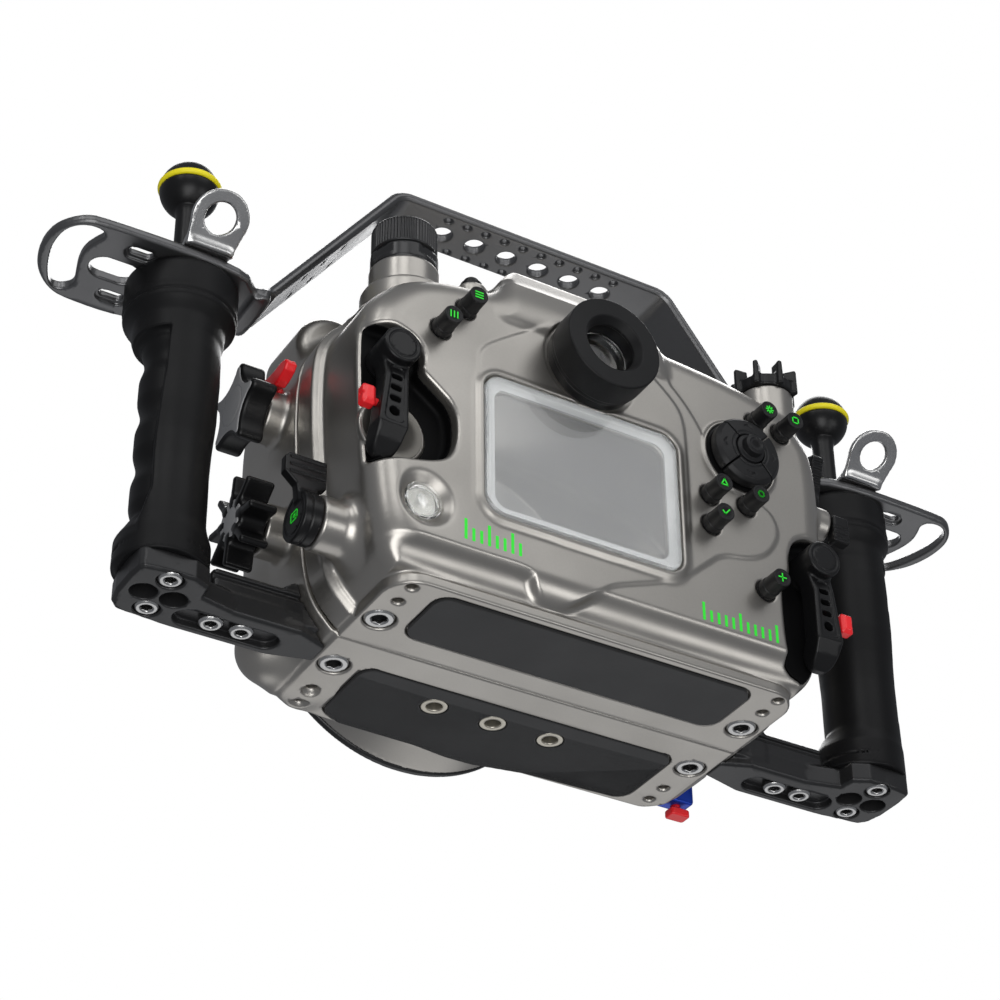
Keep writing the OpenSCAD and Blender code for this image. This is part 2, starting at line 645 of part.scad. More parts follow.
module rear_shell() color([0.62, 0.6, 0.56]) home() difference() {
    union() {
        slab(-rim_depth, -seam_gap / 2) rim2d(0);
        slab(rear_edge, -rim_depth) rim2d(-rear_step);
        hull() {
            slab(rear_edge, rear_edge + 0.5) rim2d(-rear_step);
            slab(rear_face + 3, rear_face + 3.5) rim2d(-rear_step - 3);
            slab(rear_face, rear_face + 0.5) rim2d(-rear_step - rear_taper);
        }
        linear_extrude(height = base_t) plate_rear2d();
        // hump over the finder
        hull() {
            translate([-44, -46, 145]) cube([66, 40, 18]);
            translate([-38, -44, 145]) cube([50, 36, 26]);
            translate([-44, rear_face + 2, 130]) cube([66, 5, 26]);
        }
        // tower, crown stub, plug stub and side bosses
        zrod(118, 155.5, tower + [0, -1], tower_r + 4);
        zrod(140, tower_top, tower, tower_r);
        zrod(120, crown_top, crown, crown_stub_r);
        zrod(140, plug_top, plug, 6.5);
        xrod(-thumb_boss_x, -95, thumb_at[0], thumb_at[1], boss_r);
        xrod(95, right_boss_x, focus_at[0], focus_at[1], 8);
        xrod(95, right_boss_x, shutter_at[0], shutter_at[1], 7);
        // raised field, finder pad and the frame of the pane
        slab(field_face, rear_edge) field2d();
        slab(finder_face, rear_face + 1) finder2d();
        hull() {
            slab(finder_face, rear_face + 1) pane2d(frame_land + frame_slope);
            slab(frame_face, frame_face + 0.1) pane2d(frame_land);
        }
    }
    // camera room, first beside and then behind the latch wells
    slab(well_floor + well_back, 1) rim2d(-wall);
    slab(rear_in, well_floor + well_back + 0.1) difference() {
        rim2d(-wall - 6);
        offset(delta = well_back - 1) well_left2d();
        offset(delta = well_back - 1) well_right2d();
    }
    translate([-36, -40, 140]) cube([46, 28, 24]);
    // eyepiece seat and bore, pane seat and opening
    yrod(rear_face - 20, finder_face, eye_x, eye_z, cup_r + 0.3);
    yrod(rear_face - 4, rear_in + 1, eye_x, eye_z, 15 + fit_gap);
    slab(frame_face - 1, pane_in + seal_t + 2 * seal_gap) pane2d(0.1);
    slab(rear_face, rear_in + 1) pane2d(-pane_ledge);
    // push buttons and four way pad
    for (b = buttons) {
        yrod(field_face - 2, rear_face + 2.5, b[0], b[1], button_r + 0.5);
        yrod(field_face - 2, rear_in + 1, b[0], b[1], stem_r + run_gap);
    }
    yrod(field_face - 2, pad_seat, pad_at[0], pad_at[1], pad_r + 0.5);
    for (a = [0:3]) yrod(pad_seat - 1, rear_in + 1, pad_at[0] + key_reach * sin(a * 90),
        pad_at[1] + key_reach * cos(a * 90),
                         key_stem_r + run_gap);
    yrod(pad_seat - 1, rear_in + 1, pad_at[0], pad_at[1], key_stem_r + 0.3 + run_gap);
    // latch wells and pivots
    slab(rear_face - 5, well_floor) { well_left2d(); well_right2d(); }
    for (p = [latch_l, latch_r_at]) yrod(well_floor - 1, well_floor + well_back + 1, p[0], p[1],
        latch_shaft_r + run_gap);
    // side and top shafts
    xrod(-120, -90, thumb_at[0], thumb_at[1], shaft_r + run_gap);
    xrod(90, 120, focus_at[0], focus_at[1], shaft_r + run_gap);
    xrod(90, 120, shutter_at[0], shutter_at[1], shaft_r + run_gap);
    zrod(118, crown_top + 1, crown, shaft_r + run_gap);
    zrod(130, tower_top + 1, tower, valve_r);
    zrod(plug_top - 14, plug_top + 1, plug, 3.52);
    // status port, plate screws, small threaded holes and pad recess
    translate([status_at[0], field_face - 0.01, status_at[1]]) rotate([-90, 0, 0])
        rotate_extrude() polygon([[0, -1], [status_bowl_r + 1, -1], [status_bowl_r, 0],
            [status_r + 0.1, 3], [0, 3]]);
    yrod(field_face, rear_face + 2.5, status_at[0], status_at[1], status_r + 0.1);
    yrod(field_face - 2, rear_in + 1, status_at[0], status_at[1], 6.5);
    for (s = [-1, 1]) {
        plate_screw_seat([s * base_screws_at[0][0], base_screws_at[0][1]]);
        for (k = [0, 1]) zrod(-1, base_t - 0.5, [s * small_holes_at[k][0], small_holes_at[k][1]],
            small_hole_r);
    }
    translate([0, 0, -1]) linear_extrude(height = 1 + pad_t + 0.1) rear_pad2d(0.5);
}

module rear_pad2d(grow = 0) translate([0, rear_pad_y])
    offset(r = 6.5 + grow) square([rear_pad_w - 13, rear_pad_d - 13], center = true);

module rear_pad() color([0.16, 0.16, 0.16]) home() translate([0, 0, -plate_z])
    linear_extrude(height = plate_z + pad_t) rear_pad2d(0);

module base_screws_rear() color([0.75, 0.75, 0.76]) home()
    for (s = [-1, 1]) translate([s * base_screws_at[0][0], base_screws_at[0][1], 0.2])
        cap_screw(6.2, 4.2, 3, screw_r, 3.3);

module window() color([0.75, 0.8, 0.82, 0.35]) home() slab(pane_out, pane_in) pane2d(0);

module window_seal() color([0.08, 0.08, 0.08]) home() slab(pane_in + seal_gap, pane_in + seal_gap + seal_t)
    difference() { pane2d(0); pane2d(-pane_ledge); }

module eyepiece() color([0.1, 0.1, 0.1]) home() difference() {
    union() {
        yrod(cup_base, finder_face - fit_gap, eye_x, eye_z, eye_flange_r);
        yrod(cup_base - 10, rear_in - 1, eye_x, eye_z, 15);
    }
    yrod(cup_base - 11, rear_in + 1, eye_x, eye_z, 12);
}

module eye_lens() color([0.7, 0.75, 0.78, 0.4]) home() difference() {
    yrod(cup_base - 4, cup_base + 1, eye_x, eye_z, 11.95);
    translate([eye_x, cup_base - 31, eye_z]) sphere(r = 29.5, $fn = 64);
}

module eyecup() color([0.12, 0.12, 0.12]) home() translate([eye_x, cup_base - fit_gap, eye_z])
    rotate([90, 0, 0])
    rotate_extrude($fn = 72) polygon([[15.05, 0], [cup_r - 0.4, 0], [cup_r, 1], [cup_r, cup_len - 1.5],
        [cup_r - 1.4, cup_len],
                                      [13.2, cup_len], [11.2, cup_len - 3], [11.2, 10.1], [15.05, 10.1]]);

module button_glands() color([0.05, 0.05, 0.05]) home() for (b = buttons) difference() {
    yrod(rear_face - 4.6, b[2] - fit_gap, b[0], b[1], button_r + button_room);
    yrod(rear_face - 6, rear_face + 2, b[0], b[1], button_r + run_gap);
}

module button(k) color([0.05, 0.05, 0.05]) home() {
    yrod(rear_face - button_out, rear_face + 2.4 - button_travel, buttons[k][0], buttons[k][1], button_r);
    yrod(rear_face - 2, rear_in + 6, buttons[k][0], buttons[k][1], stem_r);
}
module button_1() button(0);
module button_2() button(1);
module button_3() button(2);
module button_4() button(3);
module button_5() button(4);
module button_6() button(5);
module button_7() button(6);
module button_8() button(7);

module pad_base() color([0.04, 0.04, 0.04]) home() difference() {
    yrod(rear_face - 1, pad_seat - fit_gap, pad_at[0], pad_at[1], pad_r + 0.4);
    for (a = [0:3]) yrod(rear_face - 5, rear_face + 10, pad_at[0] + key_reach * sin(a * 90),
        pad_at[1] + key_reach * cos(a * 90),
                         key_stem_r + run_gap);
    yrod(rear_face - 5, rear_face + 10, pad_at[0], pad_at[1], key_stem_r + 0.3 + run_gap);
}

// One quarter of the ring of keys, pointing up before it is turned by a.
module key(a) color([0.06, 0.06, 0.06]) home() {
    slab(rear_face - key_out, rear_face - 1.1 - key_travel) translate(pad_at) rotate(-a) intersection() {
        difference() { circle(r = pad_r, $fn = 64); circle(r = centre_r + 0.4); }
        polygon([[0, 0.4], [20, 20.4], [-20, 20.4]]);
    }
    yrod(rear_face - 3, rear_in + 3, pad_at[0] + key_reach * sin(a), pad_at[1] + key_reach * cos(a),
        key_stem_r);
}
module key_up() key(0);
module key_right() key(90);
module key_down() key(180);
module key_left() key(270);
module key_centre() color([0.05, 0.05, 0.05]) home() {
    yrod(rear_face - 13, rear_face - 1.1 - key_travel, pad_at[0], pad_at[1], centre_r - 2);
    yrod(rear_face - 9, rear_face - 1.1 - key_travel, pad_at[0], pad_at[1], centre_r);
    yrod(rear_face - 4, rear_in + 3, pad_at[0], pad_at[1], key_stem_r + 0.3);
}

// Latch lever hanging from its pivot; s is its outer side. Its arm arches out and its tip bends back.
module latch(p, s) color([0.08, 0.08, 0.08]) home() difference() {
    union() {
        yrod(rear_face - 8, well_floor - 0.3, p[0], p[1], latch_r);
        translate([p[0], 0, p[1]]) rotate([0, -s * latch_tilt, 0]) intersection() {
            slab(rear_face - 6, well_floor) union() {
                hull() { circle(r = 6); translate([0, -14]) circle(r = 5); }
                hull() { translate([0, -14]) circle(r = 5); translate([0, -36]) circle(r = 6.4); }
                hull() { translate([0, -36]) circle(r = 6.4); translate([0, 5.5 - latch_len])
                    circle(r = 5.5); }
            }
            translate([-10, rear_face, 0]) rotate([90, 0, 90]) linear_extrude(height = 20)
                polygon([[-3, 7], [-3, -8], [-5, -14], [-5, -37], [-1.5, -42], [3.5, 0.5 - latch_len],
                    [7.6, 1 - latch_len],
                         [7.8, -40], [4.6, -35], [4.6, -10], [7, 0], [7, 7]]);
        }
        // shaft through the well floor, with the cam that draws the halves together
        yrod(well_floor - 1, well_floor + 14, p[0], p[1], latch_shaft_r);
        translate([p[0] - 3, well_floor + 10.5, p[1]]) cube([6, 3.5, 10]);
    }
    translate([p[0], 0, p[1]]) rotate([0, -s * latch_tilt, 0]) slab(rear_face - 7, well_floor) {
        for (k = [0:2]) translate([0, -arm_slot - arm_slot_pitch * k]) offset(r = 1)
            square([2.8, 0.7], center = true);
        translate([0, -arm_slot - arm_slot_pitch * 3 - 0.8]) circle(r = 2.2);
    }
    translate([p[0], 0, p[1] - lock_drop]) xrod(s * lock_in, s * 12, lock_y, 0, lock_r + run_gap);
}
module latch_left() latch(latch_l, -1);
module latch_right() latch(latch_r_at, 1);

module latch_lock(p, s) color([0.8, 0.05, 0.07]) home() translate([p[0], 0, p[1] - lock_drop]) {
    slab(lock_y - 5, lock_y + 1.6) translate([s * lock_out, 0]) offset(r = 1.4)
        square([2.4, 6.2], center = true);
    xrod(s * (lock_in + 2.3), s * (lock_out - 1), lock_y, 0, lock_r);
}
module latch_lock_left() latch_lock(latch_l, -1);
module latch_lock_right() latch_lock(latch_r_at, 1);

module valve_ring() color([0.06, 0.06, 0.06]) home() difference() {
    union() {
        zrod(tower_top + fit_gap, tower_top + lock_ring_h, tower, tower_r - 0.5);
        zrod(tower_top - 14, tower_top + 1, tower, valve_r - fit_gap);
        zrod(tower_top + 1, tower_top + lock_ring_h + 8, tower, 8);
    }
    for (a = [0:3]) translate([tower[0], tower[1], tower_top + 3.2]) rotate([0, 0, a * 90 + 18])
        translate([tower_r - 1.5, -6, 0]) cube([5, 12, lock_ring_h]);
    zrod(tower_top - 20, tower_top + 30, tower, 4);
}

module valve_cap() color([0.05, 0.05, 0.05]) home() difference() {
    translate([tower[0], tower[1], tower_top + lock_ring_h + 0.2]) linear_extrude(height = valve_cap_h)
        difference() {
        circle(r = tower_r - 0.9, $fn = 72);
        for (k = [0:35]) rotate(k * 10) translate([tower_r - 0.6, 0]) circle(r = 0.7, $fn = 8);
    }
    zrod(tower_top, tower_top + lock_ring_h + 8.6, tower, 8 + run_gap);
}

module sync_plug() color([0.05, 0.05, 0.05]) home() {
    zrod(plug_top - 8, plug_top + 4, plug, 3.5);
    zrod(plug_top + fit_gap, plug_top + 3, plug, 4.6);
    zrod(plug_top + 2, plug_top + 5.6, plug, 3.2);
}

module crown_dial() color([0.05, 0.05, 0.05]) home() {
    zrod(crown_top + 0.2, crown_top + 6, crown, 12.6);
    for (k = [0:7]) translate([crown[0], crown[1], crown_top + 0.2]) rotate([0, 0, k * 45 - 5])
        translate([8.2, -1.4, 0])
        rotate([90, 0, 90]) linear_extrude(height = 6.4) offset(r = 1) offset(delta = -1)
            square([2.8, 12.2]);
    zrod(132, crown_top + 4, crown, shaft_r);
}

module status_lens() color([0.85, 0.88, 0.9, 0.4]) home() {
    yrod(field_face + 1.4, rear_face + 2.45, status_at[0], status_at[1], status_r);
    yrod(rear_face + 2, rear_in, status_at[0], status_at[1], 6.45);
}

module leak_board() color([0.05, 0.25, 0.1]) home()
    translate([-76, rear_in + fit_gap, 22]) cube([16, 2, 22]);

// Thumb lever: a hub on the left boss with an upright paddle.
module thumb_lever() color([0.06, 0.06, 0.06]) home() {
    xrod(-125, -thumb_boss_x - 0.2, thumb_at[0], thumb_at[1], 10.3);
    xrod(-118, -side_in + 2, thumb_at[0], thumb_at[1], shaft_r);
    translate([-125.5, -31.5, 33]) cube([8, 5, 7]);
    translate([-131.5, -32, 39.2]) difference() {
        cube([17.6, 4.4, 14]);
        for (k = [0:2]) translate([3.5, -1, 4.4 + 3.3 * k]) cube([17, 1.6, 1.1]);
    }
}

module focus_lever() color([0.06, 0.06, 0.06]) home() {
    xrod(right_boss_x + 0.2, 121.5, focus_at[0], focus_at[1], 5);
    xrod(side_in - 2, 118, focus_at[0], focus_at[1], shaft_r);
    translate([right_boss_x + 0.6, focus_at[0] - 8.5, focus_at[1] - 10.5]) difference() {
        cube([8, 5.5, 13]);
        for (k = [0:2]) translate([1.5, -1, 1 + 2.6 * k]) cube([10, 1.8, 1.2]);
    }
}

module shutter_lever() color([0.06, 0.06, 0.06]) home() {
    xrod(right_boss_x + 0.2, 122, shutter_at[0], shutter_at[1], 6);
    xrod(side_in - 2, 118, shutter_at[0], shutter_at[1], shaft_r);
    translate([right_boss_x + 0.4, shutter_at[0], shutter_at[1]]) rotate([18, 0, 0])
        translate([0, -3.5, 2]) difference() {
        cube([6, 6, 21]);
        for (k = [0:3]) translate([-1, -1, 7 + 3.4 * k]) cube([14, 1.6, 1.3]);
    }
}

front_shell();
port_ring();
port_lock_base();
port_lock_button();
bridge();
grip_left();
grip_right();
foot_left();
foot_right();
foot_screws();
ball_posts();
ball_orings();
hook_brackets();
base_screws_front();
front_pad();
tripod_inserts();
main_oring();
tray();
tray_screw();
knob_glands();
rear_shell();
window();
window_seal();
eyepiece();
eye_lens();
eyecup();
rear_pad();
base_screws_rear();
button_glands();
pad_base();
valve_ring();
sync_plug();
status_lens();
leak_board();
button_1();
button_2();
button_3();
button_4();
button_5();
button_6();
button_7();
button_8();
key_up();
key_right();
key_down();
key_left();
key_centre();
latch_left();
latch_right();
latch_lock_left();
latch_lock_right();
valve_cap();
crown_dial();
lobed_knob();
star_knob();
star_gear();
thumb_lever();
focus_lever();
shutter_lever();
lens_release();
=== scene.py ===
# %% [markdown]
# # Underwater camera housing
# The CAD model gives every size, place and joint of this camera housing.
# This lesson builds what a camera would see: anodised shells with soft edges, rubber, polished steel and
# clear acrylic.
# Most pieces are sculpted from signed distance fields. A field says for every point how far it is from a
# surface, negative inside, and two fields join or cut one another with a fillet of a stated radius.

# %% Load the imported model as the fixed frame
import math
import bpy
import numpy as np
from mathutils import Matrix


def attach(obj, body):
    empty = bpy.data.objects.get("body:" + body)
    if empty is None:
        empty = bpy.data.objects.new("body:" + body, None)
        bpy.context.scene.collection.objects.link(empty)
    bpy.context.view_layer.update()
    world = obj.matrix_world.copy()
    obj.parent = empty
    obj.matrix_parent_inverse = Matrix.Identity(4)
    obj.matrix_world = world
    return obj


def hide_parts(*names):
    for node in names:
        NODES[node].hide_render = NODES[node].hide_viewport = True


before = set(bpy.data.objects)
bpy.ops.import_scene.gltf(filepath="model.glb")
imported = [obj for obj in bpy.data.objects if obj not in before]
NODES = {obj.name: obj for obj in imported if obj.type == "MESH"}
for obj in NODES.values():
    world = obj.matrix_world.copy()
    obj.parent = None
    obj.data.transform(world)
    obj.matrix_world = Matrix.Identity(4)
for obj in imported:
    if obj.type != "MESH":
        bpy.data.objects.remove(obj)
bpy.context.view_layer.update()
import openvdb
from mathutils import Matrix, Vector
from mathutils.geometry import tessellate_polygon

# %% [markdown]
# ## Coordinates
# All drawings are in millimetres about the seam between the two halves and the underside of the bottom
# plate. X runs to the right, Y runs from the display towards the lens, and Z is up.
# `place` turns such points into metres of the shared frame.

# %% Units and shared sizes
MM = 0.001
SEAM_Y = -20.0
PLATE_Z = 0.6
SEAM_GAP = 0.1
SHELL_STEP = 0.75
SHELL_DETAIL = 0.004
REAR_DETAIL = 0.0
FINE = 1.0
PORT = (-9.0, 82.0)
REAR_FACE = -55.0
FIELD_FACE = -55.6
FINDER_FACE = -56.0
FRAME_FACE = -57.5
PANE = (-58.8, 35.6, 30.9, 101.8)
PANE_R = 8.0
EYE = (-9.0, 123.4)
WELL_FLOOR = -45.4
TOWER = (-76.0, -20.0)
CROWN = (93.8, -36.9)
PLUG = (-53.0, -36.0)
PAD_AT = (63.4, 104.2)
LATCH_LEFT = (-98.5, 96.0)
LATCH_RIGHT = (97.5, 62.0)
STATUS_AT = (-84.0, 33.5)
DECK_Z = 147.0
# where cuts start, safely outside the pieces, and where bores of the rear wall end, inside the room
BELOW = -5
BEHIND = -75
WALL_END = -43


def place(points):
    """Shell millimetres to metres of the shared frame."""
    return (np.asarray(points, float) + (0.0, SEAM_Y, PLATE_Z)) * MM


print("units ready, quick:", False)

# %% [markdown]
# ## Signed distance fields
# `union`, `inter` and `cut` join fields with a round of radius `r`.
# Outlines are measured in a plane first, which is cheap, and then given a height.

# %% Distance functions
def union(a, b, r=0.0):
    """Join two fields; the inner corner between them gets a fillet of radius r."""
    if r == 0.0:
        return np.minimum(a, b)
    corner = np.hypot(np.maximum(r - a, 0), np.maximum(r - b, 0))
    return np.maximum(r, np.minimum(a, b)) - corner


def inter(a, b, r=0.0):
    """Keep what both fields hold; the outer corner is rounded by r."""
    if r == 0.0:
        return np.maximum(a, b)
    corner = np.hypot(np.maximum(r + a, 0), np.maximum(r + b, 0))
    return np.minimum(-r, np.maximum(a, b)) + corner


def bevel(a, b, r):
    """Keep what both fields hold; the outer corner is cut off flat over r."""
    return np.maximum(np.maximum(a, b), (a + b + r) * 0.7071)


def cut(a, b, r=0.0):
    """Take field b out of field a."""
    return inter(a, -b, r)


def span(v, low, high):
    """A slab between two parallel planes."""
    return np.abs(v - (low + high) / 2) - (high - low) / 2


def disc(u, v, at, r):
    """A circle in a plane."""
    return np.hypot(u - at[0], v - at[1]) - r


def rrect(u, v, low_u, low_v, high_u, high_v, r):
    """A rectangle with round corners."""
    du = np.abs(u - (low_u + high_u) / 2) - (high_u - low_u) / 2 + r
    dv = np.abs(v - (low_v + high_v) / 2) - (high_v - low_v) / 2 + r
    outside = np.hypot(np.maximum(du, 0), np.maximum(dv, 0))
    return outside + np.minimum(np.maximum(du, dv), 0) - r


def pill(u, v, at, length, r):
    """A slot with round ends that runs along u."""
    return rrect(u, v, at[0] - length / 2, at[1] - r, at[0] + length / 2, at[1] + r, r)


def outline(points, u, v):
    """Distance to a closed outline, negative inside."""
    start = np.asarray(points, float)
    end = np.roll(start, -1, axis=0)
    u, v = np.broadcast_arrays(u, v)
    best = np.full(u.shape, np.inf)
    inside = np.zeros(u.shape, bool)
    for (au, av), (bu, bv) in zip(start, end):
        eu, ev = bu - au, bv - av
        wu, wv = u - au, v - av
        along = np.clip((wu * eu + wv * ev) / (eu * eu + ev * ev), 0, 1)
        best = np.minimum(best, (wu - eu * along) ** 2 + (wv - ev * along) ** 2)
        if ev != 0:
            crosses = (av > v) != (bv > v)
            inside ^= crosses & (wu < eu * wv / ev)
    best = np.sqrt(best)
    return np.where(inside, -best, best).astype(np.float32)


def smooth(points, rounds=2, closed=True):
    """Cut the corners of an outline again and again, which leaves a soft curve."""
    p = np.asarray(points, float)
    for _ in range(rounds):
        q = np.roll(p, -1, axis=0) if closed else p[1:]
        base = p if closed else p[:-1]
        a = base * 0.75 + q * 0.25
        b = base * 0.25 + q * 0.75
        middle = np.empty((2 * len(a), 2))
        middle[0::2] = a
        middle[1::2] = b
        p = middle if closed else np.vstack([p[:1], middle, p[-1:]])
    return p


def step_up(d, width):
    """1 inside an outline and 0 outside, with an S shaped edge of that width."""
    t = np.clip(0.5 - d / width, 0, 1)
    return t * t * (3 - 2 * t)


def askew(u, v, at, degrees):
    """Coordinates about a point, along axes that are turned by some degrees."""
    c, s = math.cos(math.radians(degrees)), math.sin(math.radians(degrees))
    du, dv = u - at[0], v - at[1]
    return du * c + dv * s, dv * c - du * s


def groove(r, along, radius, width):
    """A fine round groove about an axis; r is the distance from the axis."""
    return np.hypot(r - radius, along) - width


print("distance functions ready")

# %% [markdown]
# ## From a field to a mesh
# A `Clay` block is a grid of distances. Shapes are added or cut in a box round them, so that small
# features stay cheap. OpenVDB finds the surface, and its normals are read from the field itself, which
# keeps wide curves free of facets.

# %% Sculpting block
class Clay:
    """A block of distances from which one piece is sculpted."""

    def __init__(self, low, high, step):
        self.step = step
        self.low = np.array(low, float) - 3 * step
        count = np.ceil((np.array(high, float) + 3 * step - self.low) / step).astype(int) + 1
        self.axes = [self.low[k] + step * np.arange(count[k]) for k in range(3)]
        self.d = np.full(count, 50.0, np.float32)

    def region(self, box, pad):
        if box is None:
            return tuple(slice(None) for _ in range(3))
        found = []
        for k in range(3):
            low = np.searchsorted(self.axes[k], box[0][k] - pad)
            high = np.searchsorted(self.axes[k], box[1][k] + pad)
            found.append(slice(low, max(high, low + 1)))
        return tuple(found)

    def points(self, region):
        shapes = ((-1, 1, 1), (1, -1, 1), (1, 1, -1))
        return [self.axes[k][region[k]].reshape(shapes[k]).astype(np.float32) for k in range(3)]

    def apply(self, how, shape, box, r):
        region = self.region(box, r + 3 * self.step)
        x, y, z = self.points(region)
        if min(len(self.axes[k][region[k]]) for k in range(3)) > 0:
            self.d[region] = how(self.d[region], shape(x, y, z), r)

    def add(self, shape, box=None, r=0.0):
        self.apply(union, shape, box, r)

    def keep(self, shape, box=None, r=0.0):
        self.apply(inter, shape, box, r)

    def cut(self, shape, box=None, r=0.0):
        self.apply(cut, shape, box, r)

    def bar(self, how, axis, at, r, low, high, soft=0.0, join=0.0):
        """Add or cut a round bar along an axis, in the box that it fills."""
        along = "XYZ".index(axis)
        u, v = (k for k in range(3) if k != along)
        box = np.zeros((2, 3))
        box[:, along] = low, high
        box[:, u] = at[0] - r, at[0] + r
        box[:, v] = at[1] - r, at[1] + r
        self.apply(how, lambda *p: inter(disc(p[u], p[v], at, r), span(p[along], low, high), soft), box, join)

    def sample(self, points):
        """The field at any points, by weighing the eight grid values round each."""
        g = (points - self.low) / self.step
        top = np.array(self.d.shape) - 2
        base = np.clip(np.floor(g).astype(int), 0, top)
        f = np.clip(g - base, 0, 1)
        total = np.zeros(len(points))
        for i in (0, 1):
            for j in (0, 1):
                for k in (0, 1):
                    w = np.abs(1 - i - f[:, 0]) * np.abs(1 - j - f[:, 1]) * np.abs(1 - k - f[:, 2])
                    total += w * self.d[base[:, 0] + i, base[:, 1] + j, base[:, 2] + k]
        return total

    def surface(self, adaptivity):
        """Points, faces and normals of the surface, in millimetres."""
        band = 3 * self.step
        grid = openvdb.FloatGrid(band)
        grid.copyFromArray(np.clip(self.d, -band, band), tolerance=0.0)
        points, tris, quads = grid.convertToPolygons(isovalue=0.0, adaptivity=adaptivity)
        points = points * self.step + self.low
        reach = 0.6 * self.step
        normals = np.empty_like(points)
        for k in range(3):
            shift = np.zeros(3)
            shift[k] = reach
            normals[:, k] = self.sample(points + shift) - self.sample(points - shift)
        normals /= np.maximum(np.linalg.norm(normals, axis=1, keepdims=True), 1e-9)
        return points, tris, quads, normals


def mesh_object(name, points, faces, normals=None, flat=False):
    """An object from points in metres and faces as lists of indices."""
    mesh = bpy.data.meshes.new(name)
    mesh.from_pydata(points, [], faces)
    mesh.polygons.foreach_set("use_smooth", [not flat] * len(mesh.polygons))
    if normals is not None:
        mesh.normals_split_custom_set_from_vertices(normals)
    mesh.update()
    obj = bpy.data.objects.new(name, mesh)
    bpy.context.scene.collection.objects.link(obj)
    return obj


def form(clay, adaptivity=0.02):
    """The sculpted block as points, triangles that face outward, and normals."""
    points, tris, quads, normals = clay.surface(adaptivity)
    faces = np.vstack([tris.reshape(-1, 3), quads[:, [0, 1, 2]], quads[:, [0, 2, 3]]]).astype(int)
    a, b, c = (points[faces[:, k]] for k in range(3))
    if (np.cross(b - a, c - a) * normals[faces[:, 0]]).sum() < 0:
        faces = faces[:, ::-1]
    return points, faces, normals


def sculpt(low, high, step, shape, adaptivity=0.008):
    """A form from one distance function inside a box."""
    clay = Clay(low, high, step)
    clay.add(shape)
    return form(clay, adaptivity)


def moved(one, turn=None, shift=(0, 0, 0)):
    """A form turned or mirrored by a 3 x 3 matrix and then shifted."""
    points, faces, normals = one
    if turn is not None:
        turn = np.array(turn, float)
        points = points @ turn.T
        normals = normals @ turn.T
        if np.linalg.det(turn) < 0:
            faces = faces[:, ::-1]
    return points + np.array(shift, float), faces, normals


MIRROR = np.diag((-1.0, 1.0, 1.0))


def about(axis, degrees):
    """Rotation matrix about X, Y or Z."""
    return np.array(Matrix.Rotation(math.radians(degrees), 3, axis))


def piece(name, forms, slot, body, nodes=()):
    """One object from one or more forms, with its finish, body and the CAD nodes it stands for."""
    base = 0
    points, faces, normals = [], [], []
    for p, f, n in forms:
        points.append(p)
        faces.append(f + base)
        normals.append(n)
        base += len(p)
    obj = mesh_object(name, place(np.vstack(points)), np.vstack(faces).tolist(), np.vstack(normals))
    paint_with(obj, slot)
    if nodes:
        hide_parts(*nodes)
    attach(obj, body)
    print(name, "faces", len(obj.data.polygons))
    return obj


def fillet(points, radius, closed=False, arcs=4):
    """A profile with each corner turned into a short arc."""
    p = [np.array(q, float) for q in points]
    found = []
    for k, here in enumerate(p):
        if not closed and k in (0, len(p) - 1):
            found.append(here)
            continue
        before, after = p[k - 1], p[(k + 1) % len(p)]
        a, b = before - here, after - here
        la, lb = np.linalg.norm(a), np.linalg.norm(b)
        a, b = a / la, b / lb
        half = math.acos(max(-1, min(1, a @ b))) / 2
        if half > 1.5 or half < 0.05:
            found.append(here)
            continue
        reach = min(radius / math.tan(half), 0.45 * la, 0.45 * lb)
        r = reach * math.tan(half)
        centre = here + (a + b) / np.linalg.norm(a + b) * r / math.sin(half)
        start, end = here + a * reach - centre, here + b * reach - centre
        for t in np.linspace(0, 1, arcs + 1):
            v = start * (1 - t) + end * t
            found.append(centre + v / np.linalg.norm(v) * r)
    return found


def area_normals(points, faces):
    """Vertex normals weighed by face area, which keeps flats flat beside small rounds."""
    a, b, c = (points[faces[:, k]] for k in range(3))
    n = np.cross(b - a, c - a)
    total = np.zeros_like(points)
    for k in range(3):
        np.add.at(total, faces[:, k], n)
    return total / np.maximum(np.linalg.norm(total, axis=1, keepdims=True), 1e-12)


def lathe(profile, axis, at, segments=96, ripple=None, closed=False):
    """A turned form. The profile lists radius and height; ripple(angle, r, h) changes the radius."""
    profile = np.array(profile, float)
    angle = np.arange(segments) * 2 * math.pi / segments
    r = np.repeat(profile[:, :1], segments, axis=1)
    h = np.repeat(profile[:, 1:], segments, axis=1)
    if ripple is not None:
        r = np.maximum(ripple(angle[None, :], r, h), 0)
    u, v = r * np.cos(angle), r * np.sin(angle)
    order = {"X": (h, u, v), "Y": (v, h, u), "Z": (u, v, h)}[axis]
    points = np.stack(order, axis=-1).reshape(-1, 3) + np.array(at, float)
    rows = len(profile)
    faces = []
    for i in range(rows if closed else rows - 1):
        j = (i + 1) % rows
        for k in range(segments):
            m = (k + 1) % segments
            a, b, c, d = i * segments + k, i * segments + m, j * segments + m, j * segments + k
            faces += [(a, b, c), (a, c, d)]
    faces = np.array(faces)
    a, b, c = (points[faces[:, k]] for k in range(3))
    volume = (np.cross(a, b) * c).sum()
    if volume < 0:
        faces = faces[:, ::-1]
    return points, faces, area_normals(points, faces)


print("sculpting block ready")

# %% [markdown]
# ## Materials
# Every finish is built from noise in the object's own coordinates: a fine grain for the bump, and wide
# soft patches that shift the roughness and the shade a little, as handled metal and moulded rubber show.

# %% Materials
SHADE_SPREAD = 0.05
PATCH_SCALE = 26.0
METAL_GRAIN = 1500


